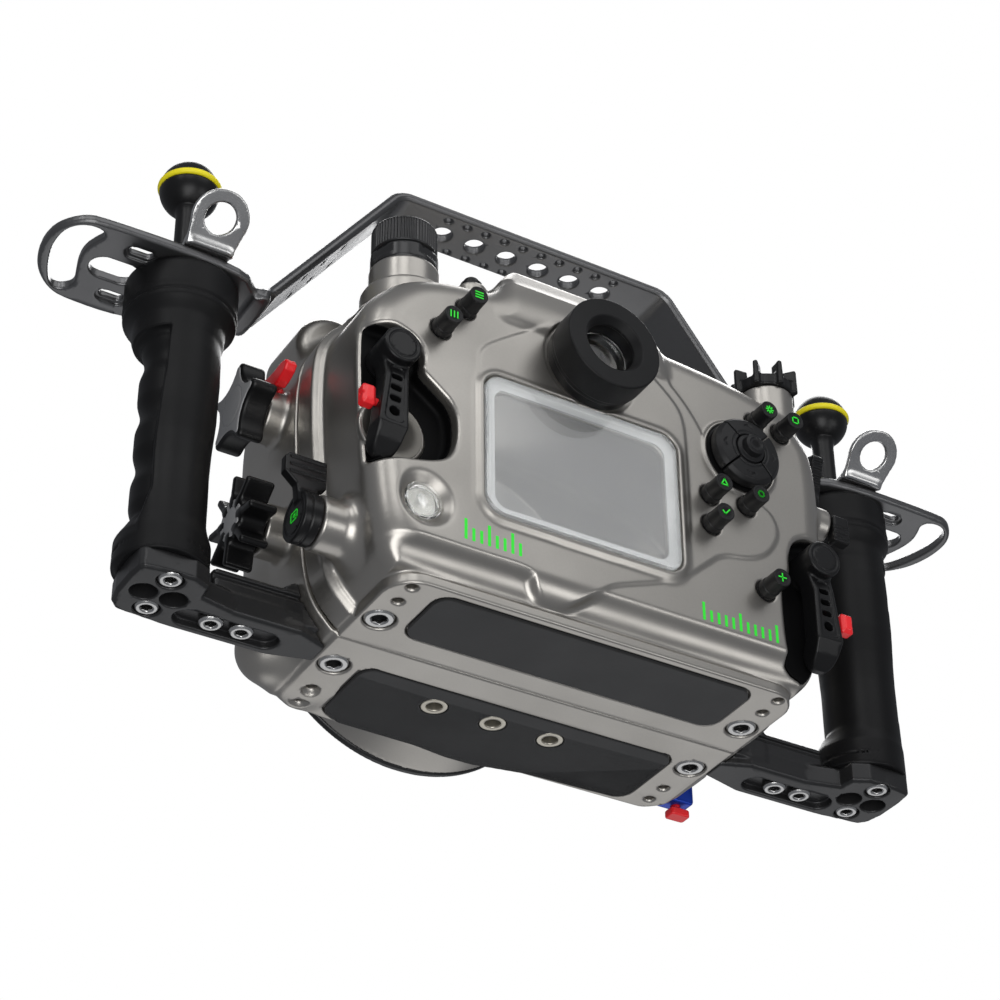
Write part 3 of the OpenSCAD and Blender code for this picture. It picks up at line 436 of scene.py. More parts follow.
def add_node(tree, kind, **values):
    """A shader node with some of its sockets set; an underline stands for a space."""
    node = tree.nodes.new("ShaderNode" + kind)
    for socket, value in values.items():
        node.inputs[socket.replace("_", " ")].default_value = value
    return node


def wire(tree, *pairs):
    """Link pairs of sockets."""
    for source, target in pairs:
        tree.links.new(source, target)


def finish(name, base, rough, metal=0.0, grain=900.0, bump=0.12, depth=0.00006, spread=0.06, sheen=0.0,
           level=0.5):
    """A material from one base colour with fine grain and soft wear patches."""
    material = bpy.data.materials.new(name)
    material.use_nodes = True
    tree = material.node_tree
    shader = tree.nodes["Principled BSDF"]
    for socket, value in (("Metallic", metal), ("Specular IOR Level", level), ("Sheen Weight", sheen)):
        shader.inputs[socket].default_value = value
    where = add_node(tree, "TexCoord").outputs["Object"]
    wide = add_node(tree, "TexNoise", Scale=PATCH_SCALE, Detail=5.0)
    fine = add_node(tree, "TexNoise", Scale=grain, Detail=3.0)
    patch = add_node(tree, "MapRange", From_Min=0.3, From_Max=0.7, To_Min=rough - spread,
                     To_Max=rough + spread)
    shade = add_node(tree, "Mix")
    shade.data_type = "RGBA"
    for socket, change in ((6, -SHADE_SPREAD), (7, SHADE_SPREAD)):
        shade.inputs[socket].default_value = (*[c * (1 + change) for c in base], 1)
    relief = add_node(tree, "Bump", Strength=bump, Distance=depth)
    wire(tree, (where, wide.inputs["Vector"]), (where, fine.inputs["Vector"]),
         (wide.outputs["Fac"], patch.inputs["Value"]), (patch.outputs["Result"], shader.inputs["Roughness"]),
         (fine.outputs["Fac"], shade.inputs[0]), (shade.outputs[2], shader.inputs["Base Color"]),
         (fine.outputs["Fac"], relief.inputs["Height"]), (relief.outputs["Normal"], shader.inputs["Normal"]))
    return material


def clear_finish(name, tint, share=1.0):
    """A clear material with a faint wavy surface and tiny changes of gloss."""
    material = finish(name, tint, 0.04, grain=60.0, bump=0.02, depth=0.0002, spread=0.015)
    shader = material.node_tree.nodes["Principled BSDF"]
    shader.inputs["Transmission Weight"].default_value = share
    shader.inputs["IOR"].default_value = 1.46
    return material


MATERIALS = {
    "anodised": finish("warm_grey_anodised", (0.42, 0.402, 0.372), 0.36, 0.92, METAL_GRAIN, 0.14),
    # a darker copy of the anodised finish: painted shade for the boss deep in the left latch well
    "shaded_boss_metal": finish("boss_anodised_painted_shade", (0.20, 0.19, 0.172), 0.42, 0.9, METAL_GRAIN, 0.14),
    "insert_metal": finish("insert_metal", (0.52, 0.49, 0.42), 0.32, 0.85, METAL_GRAIN, 0.1),
    "black_metal": finish("black_anodised", (0.03, 0.03, 0.031), 0.32, 0.45, 1400),
    "bridge_metal": finish("dark_grey_anodised", (0.15, 0.15, 0.152), 0.34, 0.85, 1400, 0.10),
    "blue_metal": finish("blue_anodised", (0.012, 0.06, 0.52), 0.3, 0.5, 1300),
    "stainless": finish("stainless", (0.52, 0.517, 0.51), 0.25, 1.0, 1700, 0.08),
    "grip_plastic": finish("grip_plastic", (0.005, 0.005, 0.0054), 0.44, grain=1000, level=0.2),
    "grey_plastic": finish("grey_plastic", (0.33, 0.33, 0.333), 0.38, grain=1100, bump=0.1),
    # painted shade: near black with hardly any gloss, for the sheets in the latch wells and the discs in the
    # screw sockets
    "painted_shade_black": finish("painted_shade_black", (0.003, 0.003, 0.0032), 0.55, bump=0.15, level=0.08),
    "black_plastic": finish("black_plastic", (0.006, 0.006, 0.0064), 0.36, grain=1100, bump=0.14, level=0.3),
    "key_plastic": finish("key_plastic", (0.009, 0.009, 0.0096), 0.42, grain=1300, level=0.3),
    "red_plastic": finish("red_plastic", (0.90, 0.018, 0.024), 0.34, bump=0.1),
    "nylon": finish("white_nylon", (0.7, 0.69, 0.65), 0.5),
    "cup_rubber": finish("cup_rubber", (0.006, 0.006, 0.0064), 0.5, grain=700, bump=0.2, sheen=0.03,
                         level=0.25),
    "pad_rubber": finish("pad_rubber", (0.024, 0.024, 0.0245), 0.6, grain=800, bump=0.3, sheen=0.1,
                         level=0.3),
    "yellow_rubber": finish("yellow_rubber", (0.97, 0.84, 0.01), 0.5, grain=800, bump=0.15),
    "seal_rubber": finish("seal_rubber", (0.58, 0.585, 0.585), 0.4, bump=0.1),
    "board": finish("green_board", (0.01, 0.09, 0.03), 0.4, grain=300, bump=0.2),
    "green_mark": finish("green_mark", (0.03, 0.92, 0.04), 0.45, bump=0.08),
    "pane_clear": clear_finish("pane_acrylic", (0.96, 0.97, 0.97), 0.88),
    "clear": clear_finish("clear_acrylic", (0.97, 0.98, 0.98)),
}
# the CAD pieces that are shown as they are
SHOWN_NODES = {"tray": "black_metal", "tray_screw": "stainless", "knob_glands": "black_plastic",
               "pad_base": "black_plastic", "main_oring": "black_plastic", "window_seal": "seal_rubber",
               "star_gear": "nylon", "leak_board": "board"}


def paint_with(obj, slot):
    """Give a piece its finish."""
    obj.data.materials.clear()
    obj.data.materials.append(MATERIALS[slot])


for name, slot in SHOWN_NODES.items():
    paint_with(NODES[name], slot)
print("finishes:", len(MATERIALS), "painted CAD nodes:", len(SHOWN_NODES))

# %% [markdown]
# ## Outlines of the shell
# The half outline at the seam is the CAD one with its corners smoothed, so that the side walls read as
# one soft curve.

# %% Outlines shared by both halves
RIM_SIDE = [(92, 0), (96.8, 4.6), (102.5, 11), (106.3, 20), (109, 38), (112.2, 72), (113.5, 97), (112.9, 118),
            (109.4, 128.5), (101, 139), (90, 147.5), (72, 153), (40, 156.5), (0, 158)]
RIM = smooth(RIM_SIDE + [(-x, z) for x, z in RIM_SIDE[-2::-1]])
FIELD = [(27, 134), (38, 123), (46, 110), (50.7, 96.8), (58, 90), (74, 84), (79, 80), (81, 72), (76, 62.3),
         (70.5, 57.6), (63, 54.6), (51.6, 52.8), (43, 45), (35, 37.5), (22, 29.8), (0, 21.6), (-6, 17.5),
         (-16.7, 8.6), (-23.5, 5.4), (-31, 5.7), (-35.5, 11), (-37.4, 17), (-60.6, 16.4), (-86, 16.8),
         (-125, 14), (-125, 175), (27, 175)]
FINDER = [(-61.6, 32), (-61.6, 108), (-60, 113.3), (-55.5, 118.6), (-30, 137), (-22, 141), (8, 141),
          (22.5, 130), (30.5, 122.6), (35, 116.6), (36.8, 104.5), (36, 32)]
WELL_LEFT = [(-126, 110), (-104, 111.6), (-97, 111.6), (-87, 107), (-84.5, 99), (-86.5, 93), (-80, 88),
             (-71.5, 81), (-70, 70), (-71.5, 60.5), (-76, 54), (-88, 50.2), (-104, 47.6), (-126, 45.6)]
WELL_RIGHT = [(126, 79), (98, 77.5), (89, 73), (85.6, 64), (86, 55), (81.5, 49), (80.8, 40), (81, 20),
              (84, 8.5), (126, 6)]
WELL_BOSS = (-94.4, 66.3)
PLATE_HALF = 91.7
PLATE_T = 5
PLATE_FRONT = [(-PLATE_HALF, -6), (PLATE_HALF, -6), (PLATE_HALF, 51), (84, 57.8), (24, 57.8), (2, 61.8),
               (-12, 61.6), (-26, 59.4), (-68, 57.8), (-84, 56), (-PLATE_HALF, 49)]
PAD_FRONT = [(-71.5, 14.4), (72.3, 14.4), (72.3, 54.2), (23, 56), (2, 60.2), (-10, 60.2), (-26, 57.9),
             (-62, 57), (-71.5, 51.5)]
PAD_REAR = [(-71, -44.1), (71, -44.1), (71, -13.1), (-71, -13.1)]
PAD_CORNER = 6.5
PAD_GAP = 0.7
PAD_RECESS = 1.9
SEAT_R = 6.6
SEAT_DEPTH = 4.6
SCREW_BORE = 4.02
HOLE_R = 2.1
BUTTONS = [(-66.8, 130.6), (-78.2, 116.3), (72.9, 126.2), (86, 125.4), (47, 80.1), (65.1, 80.5),
           (46.8, 65.5), (72.3, 42.4)]
SCREWS_REAR = [(-83, -17.7), (83, -17.7)]
SCREWS_FRONT = [(-83, 19.5), (83, 19.5)]
TRIPOD = [(-33.9, 27.4), (-7, 27.4), (19.9, 27.4)]
LOBED_AT = (16.5, 104.7)
STAR_AT = (13.5, 47.5)
RELEASE_AT = (19.0, 120.3)
THUMB_AT = (-27.5, 27.6)
FOCUS_AT = (-38, 98)
SHUTTER_AT = (-27, 117)
FRONT_PAD_EDGE = fillet(PAD_FRONT, PAD_CORNER, True, 7)
REAR_PAD_EDGE = fillet(PAD_REAR, PAD_CORNER, True, 7)


def rim(x, z):
    return outline(RIM, x, z)


def pane(x, z, grow=0.0):
    low_x, low_z, high_x, high_z = PANE
    return rrect(x, z, low_x - grow, low_z - grow, high_x + grow, high_z + grow, PANE_R + max(grow, -3) / 2)


def around(at, reach, low, high):
    """The box round a place in X and Y, from one height to another."""
    return (at[0] - reach, at[1] - reach, low), (at[0] + reach, at[1] + reach, high)


def on_face(at):
    """A place given as X and Z, for a form that is turned about Y."""
    return at[0], 0, at[1]


def screw_seats(clay, places):
    """Counterbores of the plate screws with a soft rim."""
    for at in places:
        clay.bar(cut, "Z", at, SEAT_R, BELOW, SEAT_DEPTH, 0, 0.8)
        clay.bar(cut, "Z", at, SCREW_BORE, BELOW, 8)


def small_holes(clay, places):
    """Threaded holes of the plate, each with a countersink."""
    for at in places:
        clay.bar(cut, "Z", at, HOLE_R, BELOW, 4.5)
        clay.cut(lambda x, y, z: disc(x, y, at, HOLE_R + 0.8 - np.clip(z, -1, 2)), around(at, 4, -1, 7))


print("outlines ready")

# %% [markdown]
# ## Rear half
# The rim flange stands proud of the body. The rear face carries a raised field with a wavy lower edge,
# a flat pad round the display, the frame of the pane, two open latch wells, the tower of the vacuum valve
# and all bores. A bar is listed as axis, place, radius, start, end, edge round and foot round.

# %% Rear shell
BODY_STEP = 4
BODY_ROUND = 14
WALL = 9
SKIRT_R = 12
SKIRT_AT = (-60, 5.4)
FLANGE_END = -16
FIELD_RISE = 0.7
FINDER_RISE = 0.6
STEP_WIDTH = 1.8
SHAFT_BORE = 3.05
FRAME_SLOPE = 1.3
FRAME_LAND = 2.0
LEDGE = 5.0
PAD_BORES = ((0, 11.5), (11.5, 0), (0, -11.5), (-11.5, 0), (0, 0))


def rear_plane(x, z):
    """Y of the rear face: the field and the finder pad stand proud of it."""
    field = step_up(outline(smooth(FIELD), x, z), STEP_WIDTH)
    finder = step_up(outline(smooth(FINDER), x, z), STEP_WIDTH)
    return REAR_FACE - FIELD_RISE * field - FINDER_RISE * finder


def skirt(y, z):
    """Room under the hollow slope that leads from the rear face down to the bottom plate."""
    y0, z0 = SKIRT_AT
    return np.minimum(disc(y, z, SKIRT_AT, SKIRT_R), np.maximum(y - y0 - SKIRT_R, z - z0))


def rear_body(x, y, z):
    side = rim(x, z)
    body = inter(inter(side + BODY_STEP, rear_plane(x, z) - y, BODY_ROUND), y + SEAM_GAP, 0.8)
    ledge = inter(-outline(smooth(FIELD), x, z), skirt(y, z), 3)
    body = cut(body, ledge, 1.6)
    flange = bevel(side, span(y, FLANGE_END, -SEAM_GAP), 2.4)
    body = union(body, flange, 2.2)
    plate = inter(rrect(x, y, -PLATE_HALF, -48.5, PLATE_HALF, 20, 14), span(z, 0, PLATE_T), 0.9)
    return union(body, inter(plate, y + SEAM_GAP, 0.4), 1.6)


def hump(x, y, z):
    """The cover over the finder, with sloping sides."""
    across = outline([(-47, 135), (-46, 160), (-39, 170.6), (14, 170.6), (24, 160), (25, 135)], x, z)
    along = outline([(-54.6, 135), (-54, 155), (-46, 170.6), (-9, 171), (-6, 158), (-6, 135)], y, z)
    return inter(across, along, 4.5)


def frame_ridge(x, y, z):
    """The sloping frame round the pane."""
    slope = (pane(x, z) - FRAME_LAND - (y - FRAME_FACE) * FRAME_SLOPE) / math.hypot(1, FRAME_SLOPE)
    return inter(inter(slope, FRAME_FACE - y, 0.3), y + 53, 0)


def back_room(x, y, z):
    """Room for the camera behind the latch wells."""
    wells = np.minimum(outline(WELL_LEFT, x, z), outline(WELL_RIGHT, x, z))
    return inter(np.maximum(rim(x, z) + 15, 4.0 - wells), span(y, -49, -38), 1)


def add_bosses(clay):
    shoulder = (TOWER[0], TOWER[1] - 1)
    clay.bar(union, "Z", shoulder, 21.5, 110, 144, 2.5, 5)
    clay.bar(union, "Z", shoulder, 18.8, 118, 155.5, 1.8, 2.5)
    clay.keep(lambda x, y, z: y + SEAM_GAP, ((-100, -3, 100), (-50, 4, 160)))
    for boss in (("Z", TOWER, 14.8, 140, 169.5, 0.9, 2.5), ("Z", CROWN, 12, 110, 157.9, 1, 4),
                 ("Z", PLUG, 6.5, 135, 160, 0.8, 3), ("X", THUMB_AT, 11, -117, -90, 1.2, 6),
                 ("X", FOCUS_AT, 8, 90, 117, 1, 3), ("X", SHUTTER_AT, 7, 90, 117, 1, 3)):
        clay.bar(union, *boss)
    clay.add(frame_ridge, ((-66, -59, 28), (38, -52, 109)), 0.8)


def cut_rooms(clay):
    """Camera room, the room in the hump under its lid, and the latch wells, open to the sides."""
    clay.cut(lambda x, y, z: inter(rim(x, z) + WALL, span(y, -40.4, 3), 2))
    clay.cut(back_room)
    clay.cut(lambda x, y, z: rrect(x, y, -36, -40, 10, -12, 4) + 0 * z, ((-36, -40, 141), (10, -12, 164)))
    clay.add(lambda x, y, z: inter(rrect(x, y, -40, -44, 14, -8, 6), span(z, 164, 169)),
             ((-40, -44, 163), (14, -8, 170)))
    for well, low, high in ((WELL_LEFT, -130, -68), (WELL_RIGHT, 79, 130)):
        clay.cut(lambda x, y, z: inter(outline(smooth(well), x, z), span(y, BEHIND, WELL_FLOOR), 2.4),
                 ((low, -62, 0), (high, -40, 118)), 1.8)
    clay.bar(union, "Y", WELL_BOSS, 14.3, WELL_FLOOR - 1.4, WELL_FLOOR + 2, 0.6)


def cut_bores(clay):
    for at in (LATCH_LEFT, LATCH_RIGHT):
        clay.bar(cut, "Y", at, 4.05, -60, -36)
    for at in BUTTONS:
        clay.bar(cut, "Y", at, 4.6, BEHIND, -52.5, 0, 0.15)
        clay.bar(cut, "Y", at, 2.05, BEHIND, WALL_END)
    clay.bar(union, "Y", PAD_AT, 18.2, -56.4, -52, 0.6, 0.8)
    clay.bar(cut, "Y", PAD_AT, 16.5, BEHIND, -53.5, 0, 0.9)
    for dx, dz in PAD_BORES:
        clay.bar(cut, "Y", (PAD_AT[0] + dx, PAD_AT[1] + dz), 1.8, BEHIND, WALL_END)
    for bore in (("Y", STATUS_AT, 6.5, BEHIND, WALL_END), ("Y", STATUS_AT, 8.3, BEHIND, -52.5),
                 ("X", THUMB_AT, SHAFT_BORE, -122, -88), ("X", FOCUS_AT, SHAFT_BORE, 88, 122),
                 ("X", SHUTTER_AT, SHAFT_BORE, 88, 122), ("Z", CROWN, SHAFT_BORE, 115, 162),
                 ("Z", TOWER, 9, 128, 172, 0, 0.4), ("Z", PLUG, 3.55, 143.7, 164)):
        clay.bar(cut, *bore)


def build_rear():
    clay = Clay((-119, -62, -1), (119, 1, 172), SHELL_STEP)
    clay.add(rear_body)
    clay.add(hump, ((-50, -58, 130), (28, -4, 173)), 9)
    add_bosses(clay)
    cut_rooms(clay)
    clay.bar(cut, "Y", EYE, 21.8, BEHIND, FINDER_FACE - 0.02, 0, 0.3)
    clay.bar(cut, "Y", EYE, 15.05, BEHIND, WALL_END)
    clay.cut(lambda x, y, z: inter(pane(x, z, 0.5), y + 52.0), ((-63, -60, 31), (35, -50, 106)), 0.5)
    clay.cut(lambda x, y, z: pane(x, z, -LEDGE) + 0 * y, ((-60, -60, 34), (32, -45, 103)), 0.6)
    clay.cut(lambda x, y, z: (disc(x, z, STATUS_AT, 12.2) + (y - FIELD_FACE) * FRAME_SLOPE) / 1.64,
             ((-98, -60, 20), (-70, -46, 48)), 0.8)
    cut_bores(clay)
    screw_seats(clay, SCREWS_REAR)
    small_holes(clay, [(s * 83, y) for s in (-1, 1) for y in (-43.3, -32.5)])
    (x0, y0), (x1, y1) = PAD_REAR[0], PAD_REAR[2]
    clay.cut(lambda x, y, z: inter(rrect(x, y, x0 - PAD_GAP, y0 - PAD_GAP, x1 + PAD_GAP, y1 + PAD_GAP,
                                         PAD_CORNER + PAD_GAP), z - PAD_RECESS),
             ((-73, -46, -2), (73, -11, 4)), 0.2)
    return form(clay, REAR_DETAIL)


piece("rear_case", [build_rear()], "anodised", "rear_half", ["rear_shell"])

# %% [markdown]
# ## Front half
# The front half carries the round port neck with its flared foot, a full lower left corner, and the knob
# bosses.

# %% Front shell
FRONT_FACE = 60
BOSS_R = 11
GLAND_R = 8
CHEEK_R = 14
CHEEK_CENTRES = np.array([(-99.4, 43, 14.2), (-98.6, 43, 36), (-84, 45, 14.2)])
NECK_Y = (40, 62, 74, 84, 92, 98)
NECK_R = (62.6, 62.6, 63.2, 65, 67.2, 68.9)
NECK_BOX = ((-96, 46, 0), (78, 99, 156))


def front_body(x, y, z):
    body = inter(inter(rim(x, z), y - FRONT_FACE, 15), SEAM_GAP - y, 0.8)
    plate = inter(outline(fillet(PLATE_FRONT, 8.0, True), x, y), SEAM_GAP - y, 0.4)
    plate = inter(plate, span(z, 0, PLATE_T), 0.9)
    return union(body, plate, 1.6)


def cheek(x, y, z):
    """A full round corner: a rounded triangle of three balls."""
    best = np.inf
    for start, end in zip(CHEEK_CENTRES, np.roll(CHEEK_CENTRES, -1, axis=0)):
        e = end - start
        t = ((x - start[0]) * e[0] + (y - start[1]) * e[1] + (z - start[2]) * e[2]) / (e @ e)
        t = np.clip(t, 0, 1)
        across = (x - start[0] - e[0] * t) ** 2 + (y - start[1] - e[1] * t) ** 2
        best = np.minimum(best, np.sqrt(across + (z - start[2] - e[2] * t) ** 2) - CHEEK_R)
    return best


def neck(x, y, z):
    """The port neck, which widens towards its mouth."""
    flare = np.interp(y, NECK_Y, NECK_R).astype(np.float32)
    return inter((np.hypot(x - PORT[0], z - PORT[1]) - flare) * 0.93, span(y, 40, 98), 0.5)


def build_front():
    clay = Clay((-124, 0, -1), (119, 98.5, 165), SHELL_STEP)
    clay.add(front_body)
    clay.bar(union, "Y", (-92, 143), 17.5, 7, 42, 5, 7)
    clay.add(cheek, ((-116, 25, -1), (-66, 62, 54)), 7)
    clay.add(neck, NECK_BOX, 11)
    for at, out in ((LOBED_AT, -122), (STAR_AT, -121)):
        clay.bar(union, "X", at, BOSS_R, out, -95, 1, 2.5)
    clay.add(lambda x, y, z: inter(rrect(x, z, 88, 11, 105, 22, 2), span(y, 38, 59.9), 0.8),
             ((85, 36, 8), (107, 62, 25)), 3)
    clay.cut(lambda x, y, z: inter(rim(x, z) + WALL, span(y, -3, 52), 3))
    clay.cut(lambda x, y, z: inter(np.maximum(rim(x, z) + 2.6, -(rim(x, z) + 6)), y - 2.8),
             ((-124, 0, -1), (119, 5, 160)))
    for bore in (("Y", PORT, 60, 48, 110, 0, 0.8), ("X", LOBED_AT, GLAND_R, -126, -88),
                 ("X", STAR_AT, GLAND_R, -126, -88), ("X", RELEASE_AT, 2.55, -118, -90),
                 *[("Z", at, 5.6, BELOW, 6.5) for at in TRIPOD]):
        clay.bar(cut, *bore)
    clay.cut(lambda x, y, z: inter(outline(FRONT_PAD_EDGE, x, y) - PAD_GAP, z - PAD_RECESS),
             ((-74, 12, -2), (74, 62, 4)), 0.2)
    clay.cut(lambda x, y, z: disc(x, y, (-9, 4), 2.5) + 0 * z, ((-13, 0.5, 6.4), (-5, 8, 12)))
    screw_seats(clay, SCREWS_FRONT)
    small_holes(clay, [(s * 82.7, y) for s in (-1, 1) for y in (38.9, 49.8)])
    return form(clay, SHELL_DETAIL)


piece("front_case", [build_front()], "anodised", "front_half", ["front_shell"])

# %% [markdown]
# ## Bridge
# One flat bar is bent over the top and opens into an end plate above each grip.
# The right half is sculpted and its distances are mirrored, so that the two halves meet without a seam.

# %% Bridge
BAR_T = 4.5
SPAN_PITCH = 16.4
SMALL_PITCH = 9.5
SPAN_BORE = 4.2
SMALL_BORE = 1.65
THREAD_DEPTH = 0.35
THREAD_PITCH = 1.3
BAR_Y = (-3.5, 22.7)
SPAN_MIDDLE = 232.25
RISER_LEAN = 53
BAR_OUTER = [(-133.5, 100), (-133.5, 148), (-69.5, 234.5), (69.5, 234.5), (133.5, 148), (133.5, 100)]
END_PLATE = [(129, -3.5), (135.5, -3.5), (144, -14), (206, -14), (214, -11.4), (221, -2.6), (222.5, 7.4),
             (221, 18), (217, 27), (210, 34.5), (202, 37.5), (176, 37.5), (168, 31), (150, 31), (141, 22.7),
             (129, 22.7)]
HAND_HOLE = [(205, 32), (201.2, 27.5), (203.5, 20), (205.6, 12.7), (206.2, 5.5), (204.2, -1), (202, -5.5),
             (203.5, -9), (208.4, -10), (213.5, -8), (217, -3.5), (218.2, 3), (217.9, 10.4), (215.4, 20.2),
             (211.4, 29.4), (208.5, 32.3)]
POST = (161.6, 9.7)


def inset(points, reach):
    """A convex outline moved inward on every side, whichever way round its points run."""
    p = np.asarray(points, float)
    e = np.roll(p, -1, axis=0) - p
    e /= np.linalg.norm(e, axis=1, keepdims=True)
    n = np.stack([-e[:, 1], e[:, 0]], axis=1)
    if ((p.mean(0) - p[0]) @ n[0]) < 0:
        n = -n
    return [p[k] + (n[k - 1] + n[k]) * reach / (1 + n[k - 1] @ n[k]) for k in range(len(p))]


def bridge_half(x, y, z):
    inner = outline(inset(BAR_OUTER, 13.5), x, z) - 9
    ring = np.maximum(outline(inset(BAR_OUTER, 13), x, z) - 13, -inner)
    bar = inter(bevel(ring, span(y, *BAR_Y), 1.5), DECK_Z - z)
    bar = cut(bar, inter(x - 129, z - DECK_Z - BAR_T), 0)
    plate = bevel(outline(smooth(END_PLATE), x, y), span(z, DECK_Z, DECK_Z + BAR_T), 1.1)
    return union(bar, plate, 5)


def countersunk(x, y, z, at, r, land):
    """A bore through the span that widens towards both faces."""
    return disc(x, y, at, r + np.clip(np.abs(z - SPAN_MIDDLE) - land, 0, 3))


def wave(height):
    """A zigzag between 0 and 1 along a thread."""
    return np.abs((height % THREAD_PITCH) / (THREAD_PITCH / 2) - 1)


def build_bridge():
    clay = Clay((0, -15, 146), (223.5, 38.5, 236), 0.6 * FINE)
    clay.axes[0] = clay.step * np.arange(len(clay.axes[0]))
    clay.low[0] = 0.0
    clay.add(bridge_half)
    for k in range(3):
        at = ((k + 0.5) * SPAN_PITCH, 10.4)
        box = around(at, 7, 226, 238)
        clay.cut(lambda x, y, z: countersunk(x, y, z, at, SPAN_BORE, 1.55), box)
        clay.cut(lambda x, y, z: disc(x, y, at, SPAN_BORE + THREAD_DEPTH * wave(z - 230)), box)
    for k in range(10):
        at = ((k // 2 + 0.5) * SMALL_PITCH, (1.1, 19.8)[k % 2])
        clay.cut(lambda x, y, z: countersunk(x, y, z, at, SMALL_BORE, 1.75), around(at, 4, 226, 238))
    for k in range(3):
        at = (115 - k * 9, DECK_Z + 27 + k * 12.2)
        for v in (3, 16.5):
            clay.cut(lambda x, y, z: np.hypot(askew(x, z, at, -RISER_LEAN)[0], y - v) - SMALL_BORE,
                     ((at[0] - 16, v - 4, at[1] - 16), (at[0] + 16, v + 4, at[1] + 16)))
    clay.bar(cut, "Z", POST, 3.1, 144, 154)
    plate_box = ((168, -15, 144), (223, 39, 154))
    clay.cut(lambda x, y, z: pill(x, y, (191, 11), 20.4, 6.4) + 0 * z, plate_box, 0.8)
    for v in (-3.1, 27):
        clay.cut(lambda x, y, z: pill(x, y, (185.4, v), 10, 2.1) + 0 * z, plate_box, 0.4)
        clay.cut(lambda x, y, z: inter(pill(x, y, (185.4, v), 13, 3.6), z - DECK_Z - 1.4), plate_box, 0.4)
    clay.cut(lambda x, y, z: outline(smooth(HAND_HOLE), x, y) + 0 * z, plate_box, 1.0)
    clay.d = np.concatenate([clay.d[:0:-1], clay.d])
    clay.low[0] = -clay.step * (len(clay.axes[0]) - 1)
    return form(clay)


piece("bridge_bar", [build_bridge()], "bridge_metal", "front_half", ["bridge"])

# %% [markdown]
# ## Grips and feet
# A grip is a turned palm swell. Four finger grooves are pressed into its front, and their edges are soft.
# Both sides share one sculpted form, mirrored across X = 0.

# %% Grips
GRIP_AT = (162.4, 8.0)
PALM_AT = (164.0, 4.7)
PALM = [(0, 9), (16.2, 9), (16.2, 40), (16.1, 52), (16.5, 64), (17.5, 78), (17.9, 96), (17.8, 106),
        (17.2, 115), (16.2, 122), (16.2, 130), (0, 130)]
FLANGE = [(0, 117), (16.5, 118), (17.6, 122.5), (21, 126), (22.6, 127.5), (22.8, 129), (22.2, 129.6),
          (22.2, 130.2), (23, 131), (23, 145), (21.5, 146.9), (0, 146.9)]
FOOT_COLLAR = [(0, 10), (18.5, 10), (18.5, 21), (17.5, 23), (15, 27), (0, 27)]
GROOVE_OUT = (0.857, 0.515)
GROOVE_LOW = 27
GROOVE_PITCH = 25
GROOVE_AT = 24.8
GROOVE_R = 12.8
GROOVE_Z = (24, 37, 56, 72, 96, 112)
GROOVE_EDGE = (7.0, 3.2, 3.6, 2.4, 0.6, 0.2)


def turned(profile, at, x, y, z):
    """Distance to a turned form with an upright axis."""
    r = np.hypot(x - at[0], y - at[1])
    both = list(profile) + [(-a, b) for a, b in profile[::-1] if a > 0]
    return outline(both, r + 0 * z, z + 0 * r)


def grip_form(x, y, z):
    r = np.hypot(x - PALM_AT[0], y - PALM_AT[1])
    sway = np.interp(z, GROOVE_Z, GROOVE_EDGE).astype(np.float32)
    beyond = sway - (x - PALM_AT[0]) * GROOVE_OUT[0] - (y - PALM_AT[1]) * GROOVE_OUT[1]
    relief = inter(13.6 - r, span(z, 24, 113), 3)
    for k in range(4):
        relief = union(relief, groove(r, z - GROOVE_LOW - GROOVE_PITCH * k, GROOVE_AT, GROOVE_R), 1.2)
    palm = cut(turned(PALM, PALM_AT, x, y, z), inter(relief, beyond, 0.5), 0.7)
    palm = union(palm, turned(FOOT_COLLAR, GRIP_AT, x, y, z), 3)
    body = union(palm, turned(FLANGE, GRIP_AT, x, y, z), 6)
    return cut(body, groove(np.hypot(x - GRIP_AT[0], y - GRIP_AT[1]), z - 14.5, 18.5, 0.4), 0.2)


def both_sides(form_right, name, slot):
    """A right piece and its mirrored left twin; each stands for the CAD node with its own side."""
    kind = name.split("_")[0]
    for side, turn in (("right", None), ("left", MIRROR)):
        piece(name % side, [moved(form_right, turn)], slot, "front_half", ["%s_%s" % (kind, side)])


both_sides(sculpt((138, -16, 9), (186, 32, 147.5), 0.65 * FINE, grip_form), "grip_%s_body", "grip_plastic")

# %% Feet
FOOT_PLAN = [(90, 5), (146.4, 5), (148.4, -9), (174, -9), (177.5, -5), (177.5, 19), (171, 26.5), (90, 26.5)]
FOOT_T = 9.95
GRIP_SCREWS = [(162.5, -3), (162.5, 18.5)]
CLAMP_SCREWS = [(136.7, 17.1), (123.9, 17.1)]


def foot_form(x, y, z):
    slab = bevel(outline(smooth(FOOT_PLAN, 1), x, y), span(z, 0.0, FOOT_T), 1.2)
    rail = bevel(rrect(x, y, 88, 5, 142, 24.5, 2), span(z, 6, 18.9), 1.6)
    web = inter(rrect(x, y, 88, 5, 112, 24.5, 1), span(z, 4, 22), 0.8)
    web = np.maximum(web, (x - 112 + (z - 19) * 1.4) * 0.58)
    body = union(union(slab, rail, 0.8), web, 1)
    body = cut(body, inter(pill(x, y, (130.3, 17.1), 43.5, 5.6), z - 3.4), 0.7)
    # holes in the underside, as places, radius, depth and edge round
    for places, r, deep, soft in ((GRIP_SCREWS, 5.3, 4.4, 0.6), (GRIP_SCREWS, 2.6, 40, 0),
                                  (CLAMP_SCREWS, 2.55, 12, 0), (((156.1, 8), (168.4, 8)), 5.3, 8, 0.4)):
        for at in places:
            body = cut(body, inter(disc(x, y, at, r), z - deep), soft)
    body = cut(body, inter(span(z, 14, 16.2), y - 6.5), 0.4)
    body = cut(body, inter(inter(span(x, 112, 137), span(z, 17.6, 30), 0.4), span(y, 10, 19), 0), 0.4)
    return np.maximum(np.maximum(body, 0.12 - rim(x, z)), PLATE_HALF + 0.15 - x)


both_sides(sculpt((88, -11, -0.5), (179, 28, 23), 0.6 * FINE, foot_form), "foot_%s_block", "black_metal")

